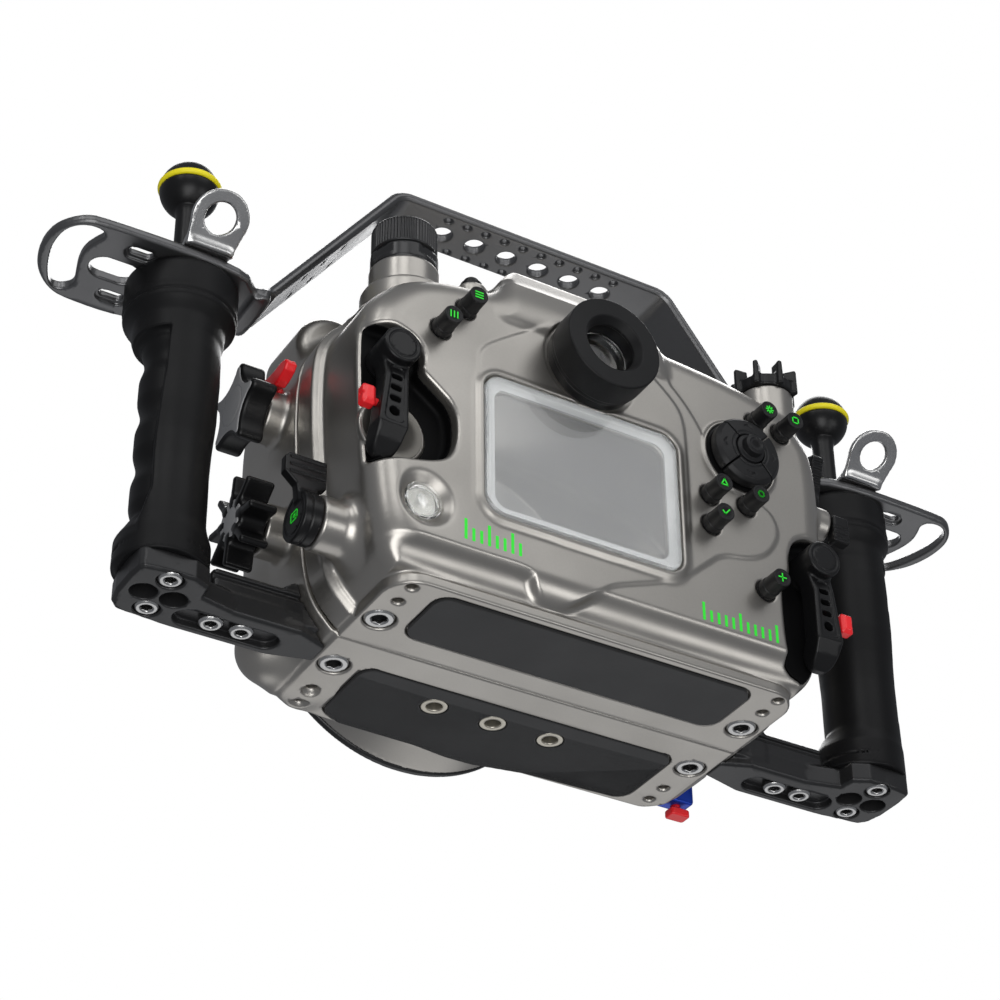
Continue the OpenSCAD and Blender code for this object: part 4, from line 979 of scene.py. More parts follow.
# %% [markdown]
# ## Turned and pressed metal
# Ball mounts, their rings, the lanyard brackets of folded stainless steel, and the socket screws.

# %% Ball mounts and brackets
BALL_Z = 201.2
BALL_R = 12.7
RING_Z = BALL_Z + 1.0
RING_R = 1.45
BRACKET_Z = DECK_Z + BAR_T + 0.05
BRACKET_T = 2.3
BRACKET_LEAN = 48
EYE_UP = (0, 12.6)


def ball_profile():
    """Foot, neck, and a ball with a groove for its ring."""
    profile = [(0, 153.9), (8, 153.9), (8, 156.4), (6.2, 157.8), (5.4, 160), (5.0, 170), (5.0, 186)]
    for t in np.linspace(-math.acos(5.6 / BALL_R), math.pi / 2, 40):
        r, h = BALL_R * math.cos(t), BALL_Z + BALL_R * math.sin(t)
        profile.append((min(r, 11.2) if abs(h - RING_Z) < 1.4 else max(r, 0), h))
    profile[-1] = (0, BALL_Z + BALL_R)
    return profile


ring_profile = [(12.0 + RING_R * math.cos(t), RING_Z + RING_R * math.sin(t))
                for t in np.linspace(0, 2 * math.pi, 20, endpoint=False)]
both_posts = [(s * POST[0], POST[1], 0) for s in (-1, 1)]
piece("ball_mounts", [lathe(ball_profile(), "Z", at, 72) for at in both_posts], "black_plastic", "front_half",
      ["ball_posts"])
piece("ball_rings", [lathe(ring_profile, "Z", at, 72, closed=True) for at in both_posts], "yellow_rubber",
      "front_half", ["ball_orings"])


def bracket_form(x, y, z):
    """Base plate and leaning tongue with an eye, in the place of the right one."""
    u = x - POST[0]
    base = inter(rrect(u, y, -10, -17, 10, 20, 3), span(z, BRACKET_Z, BRACKET_Z + BRACKET_T), 0.5)
    back, up = askew(y, z, (-16, BRACKET_Z), BRACKET_LEAN)
    root = np.maximum(np.abs(u) - 10 - np.clip(up, 0, 12.6) * 0.158, np.abs(up - 6) - 6.6)
    tongue = inter(np.minimum(disc(u, up, EYE_UP, 12), root), span(back, 0, BRACKET_T), 0.5)
    tongue = cut(tongue, disc(u, up, EYE_UP, 6.6) + 0 * back, 0.4)
    return cut(union(base, tongue, 2.2), disc(u, y, (0, POST[1]), 3.1) + 0 * z, 0.2)


bracket = sculpt((148, -38, 150), (175, 22, 174), 0.5 * FINE, bracket_form)
piece("lanyard_brackets", [bracket, moved(bracket, MIRROR)], "stainless", "front_half", ["hook_brackets"])

# %% Screws and threaded inserts
SOCKET_DEPTH = 0.62
SCREW_Z = 0.2


def hexagon(u, v, r):
    """Distance to a hexagon of that inner radius."""
    a, b = np.abs(u), np.abs(v)
    return np.maximum(b, a * 0.866 + b * 0.5) - r


def screw_form(head_r, head_h, shank_r, length, hex_r):
    """Socket cap screw with its head's face at z = 0 and its shank along +Z."""
    def shape(x, y, z):
        r = np.hypot(x, y)
        head = bevel(r - head_r, span(z, 0, head_h), 0.9)
        body = union(head, inter(r - shank_r, span(z, 0.5, length), 0.3), 0.2)
        body = cut(body, inter(hexagon(x, y, hex_r), z - head_h * SOCKET_DEPTH), 0)
        return np.maximum(body, np.minimum((hex_r + 0.7 - r - z) * 0.7071, 0.7 - z))
    return sculpt((-head_r, -head_r, 0), (head_r, head_r, length), 0.3 * FINE, shape)


def pit(head_h, hex_r):
    """Painted shade: a black disc near the floor of a hexagon socket, which darkens the socket."""
    deep = head_h * SOCKET_DEPTH
    return lathe([(0, deep - 0.5), (hex_r * 1.1, deep - 0.5), (hex_r * 1.1, deep - 0.2), (0, deep - 0.2)],
                 "Z", (0, 0, 0), 24)


def set_out(one, places):
    """The same screw or pit at every place of the underside."""
    return [moved(one, shift=(*at, SCREW_Z)) for at in places]


grip_screws = [(s * x, y) for s in (-1, 1) for x, y in GRIP_SCREWS]
clamp_screws = [(s * x, y) for s in (-1, 1) for x, y in CLAMP_SCREWS]
big = screw_form(6.2, 4.2, 3.9, 7.2, 2.85)
# the black discs in the screw sockets are painted shade
piece("screw_socket_shade_front", set_out(pit(4.2, 2.85), SCREWS_FRONT) + set_out(pit(4.1, 2.1), grip_screws)
      + set_out(pit(3.1, 2.1), clamp_screws), "painted_shade_black", "front_half")
piece("screw_socket_shade_rear", set_out(pit(4.2, 2.85), SCREWS_REAR), "painted_shade_black", "rear_half")
piece("plate_screws_rear", set_out(big, SCREWS_REAR), "stainless", "rear_half", ["base_screws_rear"])
piece("plate_screws_front", set_out(big, SCREWS_FRONT), "stainless", "front_half", ["base_screws_front"])
piece("foot_screws_set", set_out(screw_form(4.9, 4.1, 2.45, 22, 2.1), grip_screws)
      + set_out(screw_form(4.9, 3.1, 2.45, 11, 2.1), clamp_screws), "stainless", "front_half",
      ["foot_screws"])
thread = [(3.2 + 0.3 * (k % 2), 6.3 - k * 0.55) for k in range(12)]
insert_profile = [(3.5, -0.4), (5.2, -0.4), (5.55, 0), (5.55, 6.0), (5.3, 6.3)] + thread
piece("tripod_rings", [lathe(insert_profile, "Z", (*at, 0), 64, closed=True) for at in TRIPOD],
      "insert_metal", "front_half", ["tripod_inserts"])

# %% Rubber pads
def slab(edges, low, high, soft, parts=3):
    """A flat sheet between two heights from an outer edge and its holes, with a round along every rim."""
    points, faces, rims = [], [], {0: [], 1: []}
    turns = np.linspace(0, math.pi / 2, parts + 1)
    bends = [(soft * (1 - math.sin(t)), soft * (1 - math.cos(t))) for t in turns]
    rows = [(back, low + rise) for back, rise in bends] + [(back, high - rise) for back, rise in bends[::-1]]
    for number, edge in enumerate(edges):
        p = np.asarray(edge, float)
        ahead = np.roll(p, -1, axis=0) - p
        turn = (p[:, 0] * np.roll(p[:, 1], -1) - np.roll(p[:, 0], -1) * p[:, 1]).sum()
        n = np.stack([ahead[:, 1], -ahead[:, 0]], axis=1) * np.sign(turn)
        n /= np.linalg.norm(n, axis=1, keepdims=True)
        n = n + np.roll(n, 1, axis=0)
        n /= np.linalg.norm(n, axis=1, keepdims=True)
        if number > 0:
            n = -n
        base = sum(len(q) for q in points)
        for back, height in rows:
            q = p - n * back
            points.append(np.column_stack([q, np.full(len(q), height)]))
        count = len(p)
        flip = (turn > 0) == (number == 0)
        for r in range(len(rows) - 1):
            for k in range(count):
                a, b = base + r * count + k, base + r * count + (k + 1) % count
                c, d = b + count, a + count
                faces += [(a, b, c), (a, c, d)] if flip else [(c, b, a), (d, c, a)]
        rims[0].append(range(base, base + count))
        rims[1].append(range(base + (len(rows) - 1) * count, base + len(rows) * count))
    points = np.vstack(points)
    for level, rim_loops in rims.items():
        names = [k for loop in rim_loops for k in loop]
        for tri in tessellate_polygon([[Vector(points[k]) for k in loop] for loop in rim_loops]):
            a, b, c = (names[k] for k in tri)
            up = np.cross(points[b] - points[a], points[c] - points[a])[2] > 0
            faces.append((a, b, c) if up == (level == 1) else (a, c, b))
    faces = np.array(faces)
    return points, faces, area_normals(points, faces)


def circle(at, r, count=40):
    around_it = np.linspace(0, 2 * math.pi, count, endpoint=False)
    return [(at[0] + r * math.cos(t), at[1] + r * math.sin(t)) for t in around_it]


PAD_BODY = (-PLATE_Z, 1.1, 0.3)
piece("pad_front_sheet", [slab([FRONT_PAD_EDGE] + [circle(at, 6.05) for at in TRIPOD], *PAD_BODY)],
      "pad_rubber", "front_half", ["front_pad"])
piece("pad_rear_sheet", [slab([REAR_PAD_EDGE], *PAD_BODY)], "pad_rubber", "rear_half", ["rear_pad"])

# %% [markdown]
# ## Latches
# Each latch hangs from a round hub. Its arm arches outward, is pierced by three slots and a hole, and
# bends back at the tip. A red slide beside it locks it.

# %% Latches and their locks
# holes in the painted shade sheets, where the latch pivots and the well's boss show through
SHADE_SHEET_HOLES = [(LATCH_LEFT, 4.3), (LATCH_RIGHT, 4.3), (WELL_BOSS, 14.6)]
LATCH_LEN = 47.0
TILT = 3
SLOTS = (14.2, 19.4, 24.6)
ARM_HOLE = 30.6
HUB_FACE = -63
CAM_END = -31.4
LOCK_DROP = 25.5
LOCK_OUT = 12.0
LOCK_Y = -54.6


# painted shade: the latch wells are darkened by a near black sheet laid on their floor and walls
def well_shade_sheet(well, low, high):
    """Painted shade: a thin near black sheet on the floor and the walls of a latch well, which darkens the
    well.
    """
    def shape(x, y, z):
        inside = outline(smooth(well), x, z)
        room = inter(inside + 0.12, span(y, -52.6, WELL_FLOOR - 0.08), 2.3)
        hollow = inter(inside + 0.62, span(y, -60, WELL_FLOOR - 0.55), 2.0)
        sheet = np.maximum(np.maximum(room, -hollow), rear_body(x, y, z) + 0.4)
        for at, r in SHADE_SHEET_HOLES:
            sheet = np.maximum(sheet, -disc(x, z, at, r))
        return sheet
    return sculpt(low, high, 0.42 * FINE, shape)


for side, well, low, high in (("left", WELL_LEFT, (-114, -53, 44), (-69, -45, 113)),
                              ("right", WELL_RIGHT, (79.5, -53, 5), (114, -45, 80.5))):
    piece("well_shade_sheet_" + side, [well_shade_sheet(well, low, high)], "painted_shade_black", "rear_half")
# painted shade: a darker anodised disc over the boss of the left well, leaving a thin ring of the lit finish
# round it
shade_disc_y = WELL_FLOOR - 1.4
cover = fillet([(0, shade_disc_y - 0.25), (13.0, shade_disc_y - 0.25), (13.2, shade_disc_y), (13.2, shade_disc_y + 0.4),
                (0, shade_disc_y + 0.4)], 0.1)
piece("well_boss_shade_disc", [lathe(cover, "Y", on_face(WELL_BOSS))], "shaded_boss_metal", "rear_half")


def latch_form(x, y, z):
    """A latch about its pivot, with its outer side towards +X."""
    across, up = askew(x, z, (0, 0), TILT)
    down = -up
    half = np.interp(down, (0, 14, 36, 42, 47), (6, 5, 6.4, 5.6, 4.4))
    side = np.maximum(inter(np.abs(across) - half, down - LATCH_LEN, 3.2), -down)
    outer = REAR_FACE + np.interp(down, (-7, 6, 14, 37, 42, 46.5), (-3, -3.2, -5, -5, -1.5, 3.5))
    inner = REAR_FACE + np.interp(down, (-7, 0, 10, 35, 40, 46), (7, 7, 4.6, 4.6, 7.8, 7.6))
    arm = inter(side, np.maximum(outer - y, y - inner), 1.1)
    window = inter(np.abs(across) - half + 2.2, span(down, 9, 35.5), 2.2)
    arm = cut(arm, np.maximum(window, y - outer - 0.5), 0.15)
    for d in SLOTS:
        arm = cut(arm, rrect(across, down, -2.3, d - 1.25, 2.3, d + 1.25, 1.0) + 0 * y, 0.3)
    arm = cut(arm, disc(across, down, (0, ARM_HOLE), 2.1) + 0 * y, 0.3)
    r = np.hypot(x, z)
    hub = inter(r - 8, span(y, HUB_FACE, WELL_FLOOR - 0.3), 1.0)
    hub = cut(hub, groove(r, y - HUB_FACE, 5.9, 0.35), 0.1)
    body = union(union(arm, hub, 1.2), inter(r - 4, span(y, -46, CAM_END)))
    body = union(body, inter(inter(np.abs(x) - 3, span(z, 0, 10), 0.6), span(y, -34.9, CAM_END), 0.4))
    return cut(body, inter(disc(y, z, (LOCK_Y, -LOCK_DROP), 1.7), 1.5 - x), 0.2)


def lock_form(x, y, z):
    """The red slide, about the latch's pivot."""
    u, w = x - LOCK_OUT, z + LOCK_DROP
    block = bevel(rrect(u, w, -2.9, -4.5, 2.9, 4.5, 1.4), span(y, LOCK_Y - 5, LOCK_Y + 1.6), 1.6)
    block = cut(block, inter(np.hypot(u - 3.6, w) - 1.0, y - LOCK_Y + 1.2), 0.5)
    return union(block, inter(np.hypot(y - LOCK_Y, w) - 1.55, span(x, 3.8, 10.4), 0.3), 0.3)


latch = sculpt((-9, -64, -48), (12, -31, 10.5), 0.36 * FINE, latch_form)
lock = sculpt((3.5, -61, -31), (15, -52, -20), 0.28 * FINE, lock_form)
for side, at, turn in (("left", LATCH_LEFT, MIRROR), ("right", LATCH_RIGHT, None)):
    for name, one, slot, node in (("latch_%s_arm", latch, "black_plastic", "latch_"),
                                  ("latch_%s_slide", lock, "red_plastic", "latch_lock_")):
        piece(name % side, [moved(one, turn, on_face(at))], slot, node + side, [node + side])

# %% [markdown]
# ## Side controls
# A knob with five lobes, a star wheel with eight fins, a thumb lever, the lens release, and two levers on
# the right.

# %% Knobs of the left side
KNOB_FACE = -133.5
PLATE_FACE = -133.95
STAR_FACE = -132.5
STAR_PLATE = -133.2
THUMB_FACE = -125


def lobed_plan(r, u, w, radius, bite, soft):
    """Five lobes: a circle from which five smaller ones have bitten."""
    plan = r - radius
    for k in range(5):
        a = math.radians(72 * k + 16)
        plan = cut(plan, disc(u, w, (25 * math.sin(a), -25 * math.cos(a)), bite), soft)
    return plan


def lobed_form(x, y, z):
    u, w = y - LOBED_AT[0], z - LOBED_AT[1]
    r = np.hypot(u, w)
    body = inter(lobed_plan(r, u, w, 19.5, 12.5, 2.6), span(x, KNOB_FACE, -122.5), 1.6)
    body = cut(body, groove(r, x - KNOB_FACE, 8.6, 0.4), 0.15)
    return union(body, inter(r - 3, span(x, -124, -96)), 0.5)


def knob_face_form(x, y, z):
    """Grey cap plate let into the face of the lobed knob."""
    u, w = y - LOBED_AT[0], z - LOBED_AT[1]
    r = np.hypot(u, w)
    plate = inter(lobed_plan(r, u, w, 18.2, 13.9, 2.2), span(x, PLATE_FACE, KNOB_FACE + 1), 0.35)
    return cut(plate, groove(r, x - PLATE_FACE, 8.6, 0.3), 0.1)


def star_form(x, y, z):
    r = disc(y, z, STAR_AT, 0)
    body = inter(r - 10, span(x, STAR_FACE, -121.5), 1.2)
    for k in range(8):
        across, out = askew(y, z, STAR_AT, 45 * k + 8)
        fin = inter(np.abs(across) - 1.5 - 0.02 * np.abs(x + 128), span(out, 6, 19.5), 1.3)
        body = union(body, inter(fin, span(x, KNOB_FACE, -121.5), 1.2), 2.2)
    body = cut(body, groove(r, x - STAR_FACE, 6.6, 0.35), 0.15)
    return union(body, inter(r - 3, span(x, -123, -92)), 0.5)


def star_face_form(x, y, z):
    """Grey disc on the hub of the star wheel."""
    r = disc(y, z, STAR_AT, 0)
    return cut(inter(r - 8.6, span(x, STAR_PLATE, -132), 0.4), groove(r, x - STAR_PLATE, 5.6, 0.3), 0.1)


THUMB_PLAN = [(-125.5, 33), (-117.6, 33), (-117.6, 38.9), (-113.9, 41), (-113.9, 53.2), (-129.6, 53.2),
              (-131.5, 51.4), (-131.5, 44.5), (-126.6, 40)]


def thumb_form(x, y, z):
    r = disc(y, z, THUMB_AT, 0)
    hub = inter(r - 10.3, span(x, THUMB_FACE, -117.2), 0.9)
    for radius, at_x in ((7.6, THUMB_FACE), (10.3, -121.4)):
        hub = cut(hub, groove(r, x - at_x, radius, 0.35), 0.12)
    paddle = inter(outline(THUMB_PLAN, x, z), span(y, -32, -27.4), 0.8)
    reach = np.maximum(span(x, -129, -100), 0)
    for k in range(3):
        paddle = cut(paddle, np.hypot(reach, np.hypot(y + 32, z - 44.6 - 3.3 * k)) - 0.55, 0.2)
    return union(union(hub, paddle, 1.6), inter(r - 2.98, span(x, -118, -96)), 0.3)


# name, low and high corner, grid step, form, finish, body, and the CAD nodes it stands for
for name, low, high, step, shape, slot, body, nodes in (
        ("lobed_knob_plate", (-134.2, -4, 84), (-132.2, 37, 125), 0.35, knob_face_form, "grey_plastic",
         "lobed_knob", ()),
        ("star_wheel_plate", (-133.5, 3, 37), (-131.8, 24, 58), 0.3, star_face_form, "grey_plastic",
         "star_knob", ()),
        ("lobed_knob_body", (-134, -4, 84), (-95, 37, 125), 0.5, lobed_form, "black_plastic", "lobed_knob",
         ["lobed_knob"]),
        ("star_wheel", (-134, -7, 27), (-91, 34, 68), 0.45, star_form, "black_plastic", "star_knob",
         ["star_knob"]),
        ("thumb_flag", (-132, -39, 16), (-95, -16, 54), 0.4, thumb_form, "black_plastic", "thumb_lever",
         ["thumb_lever"])):
    piece(name, [sculpt(low, high, step * FINE, shape)], slot, body, nodes)

# %% Levers
RELEASE_PLAN = [(2, 3.4), (-9, 0.7), (-22, 1.4), (-24.8, -3.9), (-14.5, -7.8), (-10.5, -5.6), (-4, -3.6),
                (2, -3.3)]
RELEASE_FACE = -120.6


def release_form(x, y, z):
    u, w = y - RELEASE_AT[0], z - RELEASE_AT[1]
    r = np.hypot(u, w)
    plate = inter(outline(smooth(RELEASE_PLAN, 1), u, w), span(x, RELEASE_FACE, -115.6), 0.8)
    hub = inter(r - 3.8, span(x, RELEASE_FACE, -114.1), 0.6)
    return union(union(plate, hub, 0.8), inter(r - 2.5, span(x, -119, -97)), 0.2)


def focus_form(x, y, z):
    r = disc(y, z, FOCUS_AT, 0)
    hub = inter(r - 5, span(x, 117.2, 121.5), 0.6)
    block = inter(rrect(y, z, -46.5, 87.5, -41, 100.5, 1), span(x, 117.6, 125.6), 0.9)
    for k in range(3):
        block = cut(block, disc(y, z, (-46.5, 89.4 + 2.6 * k), 0.65) + 0 * x, 0.2)
    return union(union(hub, block, 1.2), inter(r - 2.98, span(x, 96, 118)), 0.2)


def shutter_form(x, y, z):
    u, w = askew(y, z, SHUTTER_AT, 18)
    r = np.hypot(u, w)
    hub = inter(r - 6, span(x, 117.2, 122), 0.7)
    block = inter(rrect(u, w, -3.5, 2, 2.5, 23, 1.4), span(x, 117.4, 123.4), 1.0)
    for k in range(4):
        block = cut(block, disc(u, w, (-3.6, 9.6 + 3.4 * k), 0.75) + 0 * x, 0.2)
    return union(union(hub, block, 1.4), inter(r - 2.98, span(x, 96, 118)), 0.2)


for name, low, high, shape, slot, node in (
        ("release_lever", (-121, -7, 111), (-96, 24, 125), release_form, "red_plastic", "lens_release"),
        ("focus_flag", (95, -48, 86), (126, -32, 104), focus_form, "black_plastic", "focus_lever"),
        ("shutter_flag", (95, -37, 110), (124, -20, 142), shutter_form, "black_plastic", "shutter_lever")):
    piece(name, [sculpt(low, high, 0.4 * FINE, shape)], slot, node, [node])

# %% [markdown]
# ## Buttons and four way pad
# The buttons are turned. The four keys are quarter rings with a chamfered rim and an engraved chevron.

# %% Push buttons
SIGN_FACE = -66.3
BUTTON_END = SIGN_FACE - 0.2
ROOM_END = -43
button_profile = fillet([(0, SIGN_FACE), (3.1, SIGN_FACE), (3.3, BUTTON_END), (4.05, BUTTON_END),
                         (4.1, -59.2), (4.35, -58.9), (4.35, -55.6), (4.05, -55.3), (1.7, -55.3),
                         (1.7, ROOM_END), (0, ROOM_END)], 0.3)
gland_profile = fillet([(4.4, -55.4), (4.7, -55.4), (4.7, -53.0), (4.4, -53.0)], 0.1, closed=True)

for k, at in enumerate(BUTTONS, 1):
    piece("push_button_%d" % k, [lathe(button_profile, "Y", on_face(at), 48)], "key_plastic", "button_%d" % k,
          ["button_%d" % k])
piece("button_bushes", [lathe(gland_profile, "Y", on_face(at), 48, closed=True) for at in BUTTONS],
      "black_plastic", "rear_half", ["button_glands"])

# %% Four way pad
KEY_UNDER = -57.95


def key_form(x, y, z):
    """The upper key about the pad's centre."""
    r = np.hypot(x, z)
    ring = inter(r - 15.9, 7.0 - r, 0.4)
    plan = inter(ring, np.maximum(np.abs(x) - z + 0.45, -z) * 0.7071, 0.5)
    top = -63.8 + 0.10 * np.maximum(r - 8, 0) + 0.9 * np.maximum(r - 14.2, 0)
    key = inter(plan, np.maximum(top - y, y - KEY_UNDER), 0.35)
    key = cut(key, groove(r, y + 63.75, 8.6, 0.35), 0.1)
    u, w = np.abs(x), z - 12.4
    chevron = np.hypot(np.maximum(np.abs(u - 0.9) - 0.9, 0), w + 0.5 * u) - 0.32
    key = cut(key, np.maximum(chevron, y + 63.0), 0.1)
    return union(key, inter(disc(x, z, (0, 11.5), 1.35), span(y, -58.2, -46)))


key = sculpt((-13, -64, 3), (13, -45.5, 16.5), 0.3 * FINE, key_form)
for name, degrees in (("up", 0), ("right", 90), ("down", 180), ("left", 270)):
    piece("pad_key_" + name, [moved(key, about("Y", degrees), on_face(PAD_AT))], "key_plastic",
          "key_" + name, ["key_" + name])
centre_profile = fillet([(0, -67.6), (2.6, -67.6), (3.2, -68), (4.6, -67.5), (4.9, -64.6), (6.4, -64.1),
                         (6.6, -63.6), (6.6, KEY_UNDER), (1.5, KEY_UNDER), (1.5, -46), (0, -46)], 0.3)
piece("pad_key_centre", [lathe(centre_profile, "Y", on_face(PAD_AT), 64)], "key_plastic", "key_centre",
      ["key_centre"])

# %% [markdown]
# ## Eyepiece, window and small parts

# %% Eyepiece
cup_profile = fillet([(15.05, -60.1), (21.1, -60.1), (21.1, -62.3), (21.5, -62.8), (21.5, -75), (13.4, -75),
                      (11.2, -71.6), (11.2, -70.2), (15.05, -70.2)], 0.8, closed=True)
tube_profile = fillet([(12, -70), (15, -70), (15, -60.05), (20.5, -60.05), (20.5, -56.05), (15, -56.05),
                       (15, -50), (12, -50)], 0.5, closed=True)
LENS_R = 11.9
LENS_EDGE = -64.3
lens_profile = [(0, -60.0), (LENS_R, -60.0), (LENS_R, LENS_EDGE)] + [
    (LENS_R * math.cos(t), LENS_EDGE - 0.9 * math.sin(t)) for t in np.linspace(0.1, math.pi / 2, 14)]
lens_profile[-1] = (0, lens_profile[-1][1])
piece("rubber_cup", [lathe(cup_profile, "Y", on_face(EYE), 128, closed=True)], "cup_rubber", "rear_half",
      ["eyecup"])
piece("eyepiece_tube", [lathe(tube_profile, "Y", on_face(EYE), closed=True)], "black_plastic", "rear_half",
      ["eyepiece"])
piece("finder_lens", [lathe(lens_profile, "Y", on_face(EYE))], "clear", "rear_half", ["eye_lens"])

# %% Window
def window_form(x, y, z):
    return bevel(pane(x, z), span(y, -57.8, -53), 1.1)


piece("window_pane", [sculpt((-60, -58, 34), (32, -52.8, 103), 0.5 * FINE, window_form, 0.05)],
      "pane_clear", "rear_half", ["window"])

# %% Valve, crown dial and plug
def flats(x, y, z):
    """The ring under the valve's cap, with four flats for a spanner."""
    r = disc(x, y, TOWER, 0)
    ring = bevel(r - 14.3, span(z, 169.55, 177.9), 0.7)
    for k in range(4):
        out, across = askew(x, y, TOWER, 90 * k + 18)
        ring = cut(ring, np.maximum(np.maximum(13.3 - out, np.abs(across) - 6), 172.7 - z), 0.25)
    return cut(union(ring, inter(r - 8, span(z, 156, 186)), 0.3), r - 4 + 0 * z)


def knurl(angle, r, h):
    """Fine ribs on the cap's side."""
    ribs = 0.5 + 0.5 * np.cos(angle * 60)
    return np.where((r > 12.5) & (h > 179.3) & (h < 190.6), r - 0.55 * ribs, r)


def crown_form(x, y, z):
    r = disc(x, y, CROWN, 0)
    body = inter(r - 12.6, span(z, 158.1, 163.9), 1.0)
    for k in range(8):
        out, across = askew(x, y, CROWN, 45 * k - 5)
        fin = inter(np.abs(across) - 1.45 + (z - 158) * 0.03, span(out, 8.2, 14.6), 0.9)
        body = union(body, inter(fin, span(z, 158.1, 170.3), 0.9), 1.6)
    body = cut(body, inter(np.hypot(r, z - 169) - 8.6, 0 * r + 159.6 - z), 0.5)
    return union(body, inter(r - 3, span(z, 132, 160)), 0.2)


cap_profile = [(0, 178.1), (12.2, 178.1), (13.7, 178.5), (13.9, 179.0), (13.9, 179.2), (13.9, 179.6),
               (13.9, 185), (13.9, 190.4), (13.9, 190.7), (13.7, 191.1), (12.6, 191.5), (11.4, 191.5),
               (11.2, 191.3), (0, 191.3)]
plug_profile = fillet([(0, 165.6), (2.4, 165.6), (3.2, 164.8), (3.2, 163.2), (4.6, 162.9), (4.6, 160.05),
                       (3.5, 160.05), (3.5, 152), (0, 152)], 0.4)
piece("valve_lock_ring", [sculpt((-92, -36, 155), (-60, -4, 187), 0.5 * FINE, flats)], "black_metal",
      "rear_half", ["valve_ring"])
piece("valve_knob", [lathe(cap_profile, "Z", (*TOWER, 0), 360, ripple=knurl)], "black_metal", "valve_cap",
      ["valve_cap"])
piece("crown_wheel", [sculpt((78, -53, 131), (110, -21, 171), 0.4 * FINE, crown_form)], "black_plastic",
      "crown_dial", ["crown_dial"])
piece("sync_cap", [lathe(plug_profile, "Z", (*PLUG, 0), 48)], "black_plastic", "rear_half", ["sync_plug"])

# %% Port ring and port lock
LOCK_PIN = (106.5, 65)


def port_ring_form(x, y, z):
    r = disc(x, z, PORT, 0)
    ring = cut(bevel(r - 69.2, span(y, 98.05, 102.05), 0.9), r - 61.5 + 0 * y, 0.5)
    for degrees in (90, 210, 330):
        out, across = askew(x, z, PORT, -degrees)
        ring = cut(ring, np.maximum(span(out, 57, 65), np.abs(across) - 8) + 0 * y, 0.6)
    return ring


def lock_base_form(x, y, z):
    base = inter(rrect(x, z, 98, 10, 113, 22, 2), span(y, 60, 69), 1.2)
    return cut(base, inter(disc(x, y, LOCK_PIN, 2.05), z - 25), 0.2)


def lock_button_form(x, y, z):
    cap = inter(rrect(x, y, 102, 61, 111.4, 67.6, 1.4), span(z, 4.2, 7.8), 0.8)
    return union(cap, inter(disc(x, y, LOCK_PIN, 2), span(z, 6, 20)), 0.3)


for name, low, high, step, shape, slot, body, node in (
        ("port_rim", (-79, 97.5, 12), (61, 102.5, 152), 0.8, port_ring_form, "black_metal", "front_half",
         "port_ring"),
        ("port_lock_block", (97, 59, 9), (114, 70, 23), 0.4, lock_base_form, "blue_metal", "front_half",
         "port_lock_base"),
        ("port_lock_key", (101, 60, 3.5), (112, 69, 21), 0.35, lock_button_form, "red_plastic",
         "port_lock_button", "port_lock_button")):
    piece(name, [sculpt(low, high, step * FINE, shape)], slot, body, [node])

# %% Status lamp
glass_profile = fillet([(0, -54.6), (4.5, -54.5), (7.6, -54.0), (8.15, -53.3), (8.15, -52.6), (6.4, -52.5),
                        (6.4, -49.1), (0, -49.1)], 0.3)
bowl_profile = [(0, -46.2), (3, -46.3), (5.4, -47.4), (6.3, -48.9), (5.7, -48.9), (4.9, -47.9),
                (2.6, -47.0), (0, -46.9)]
piece("status_glass", [lathe(glass_profile, "Y", on_face(STATUS_AT), 64)], "clear", "rear_half",
      ["status_lens"])
piece("status_bowl", [lathe(bowl_profile, "Y", on_face(STATUS_AT), 64)], "nylon", "rear_half")

# %% [markdown]
# ## Marks
# The housing carries plain green strokes: scale marks beside the lamp and on the right, and simple signs
# on the buttons. A sign is a line through its points, in millimetres about the button's axis.

# %% Green marks
MARK_RAISE = 0.14
MARK_ROOT = 0.3


def strokes(lines, width, plane, face):
    """Thin raised bars along short lines, drawn on a plane of constant Y or X."""
    points, faces = [], []
    for (au, av), (bu, bv) in lines:
        length = math.hypot(bu - au, bv - av)
        du, dv = (bu - au) / length * width / 2, (bv - av) / length * width / 2
        au, av, bu, bv = au - du, av - dv, bu + du, bv + dv
        base = len(points)
        for depth in (face - MARK_RAISE, face + MARK_ROOT):
            for u, v in ((au - dv, av + du), (bu - dv, bv + du), (bu + dv, bv - du), (au + dv, av - du)):
                points.append((u, depth, v) if plane == "Y" else (depth, u, v))
        quads = ((0, 1, 2, 3), (4, 7, 6, 5), (0, 4, 5, 1), (1, 5, 6, 2), (2, 6, 7, 3), (3, 7, 4, 0))
        faces += [tuple(base + i for i in q) for q in quads]
    return points, faces


def marks(name, drawn, body):
    """One flat shaded object of green bars."""
    points, faces = [], []
    for p, f in drawn:
        faces += [tuple(i + len(points) for i in q) for q in f]
        points += p
    obj = mesh_object(name, place(points), faces, flat=True)
    bpy.context.view_layer.update()
    paint_with(obj, "green_mark")
    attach(obj, body)


def drawn_at(at, *paths):
    """The lines of one or more paths, moved to a place."""
    moved_paths = [[(u + at[0], v + at[1]) for u, v in path] for path in paths]
    return [pair for path in moved_paths for pair in zip(path, path[1:])]


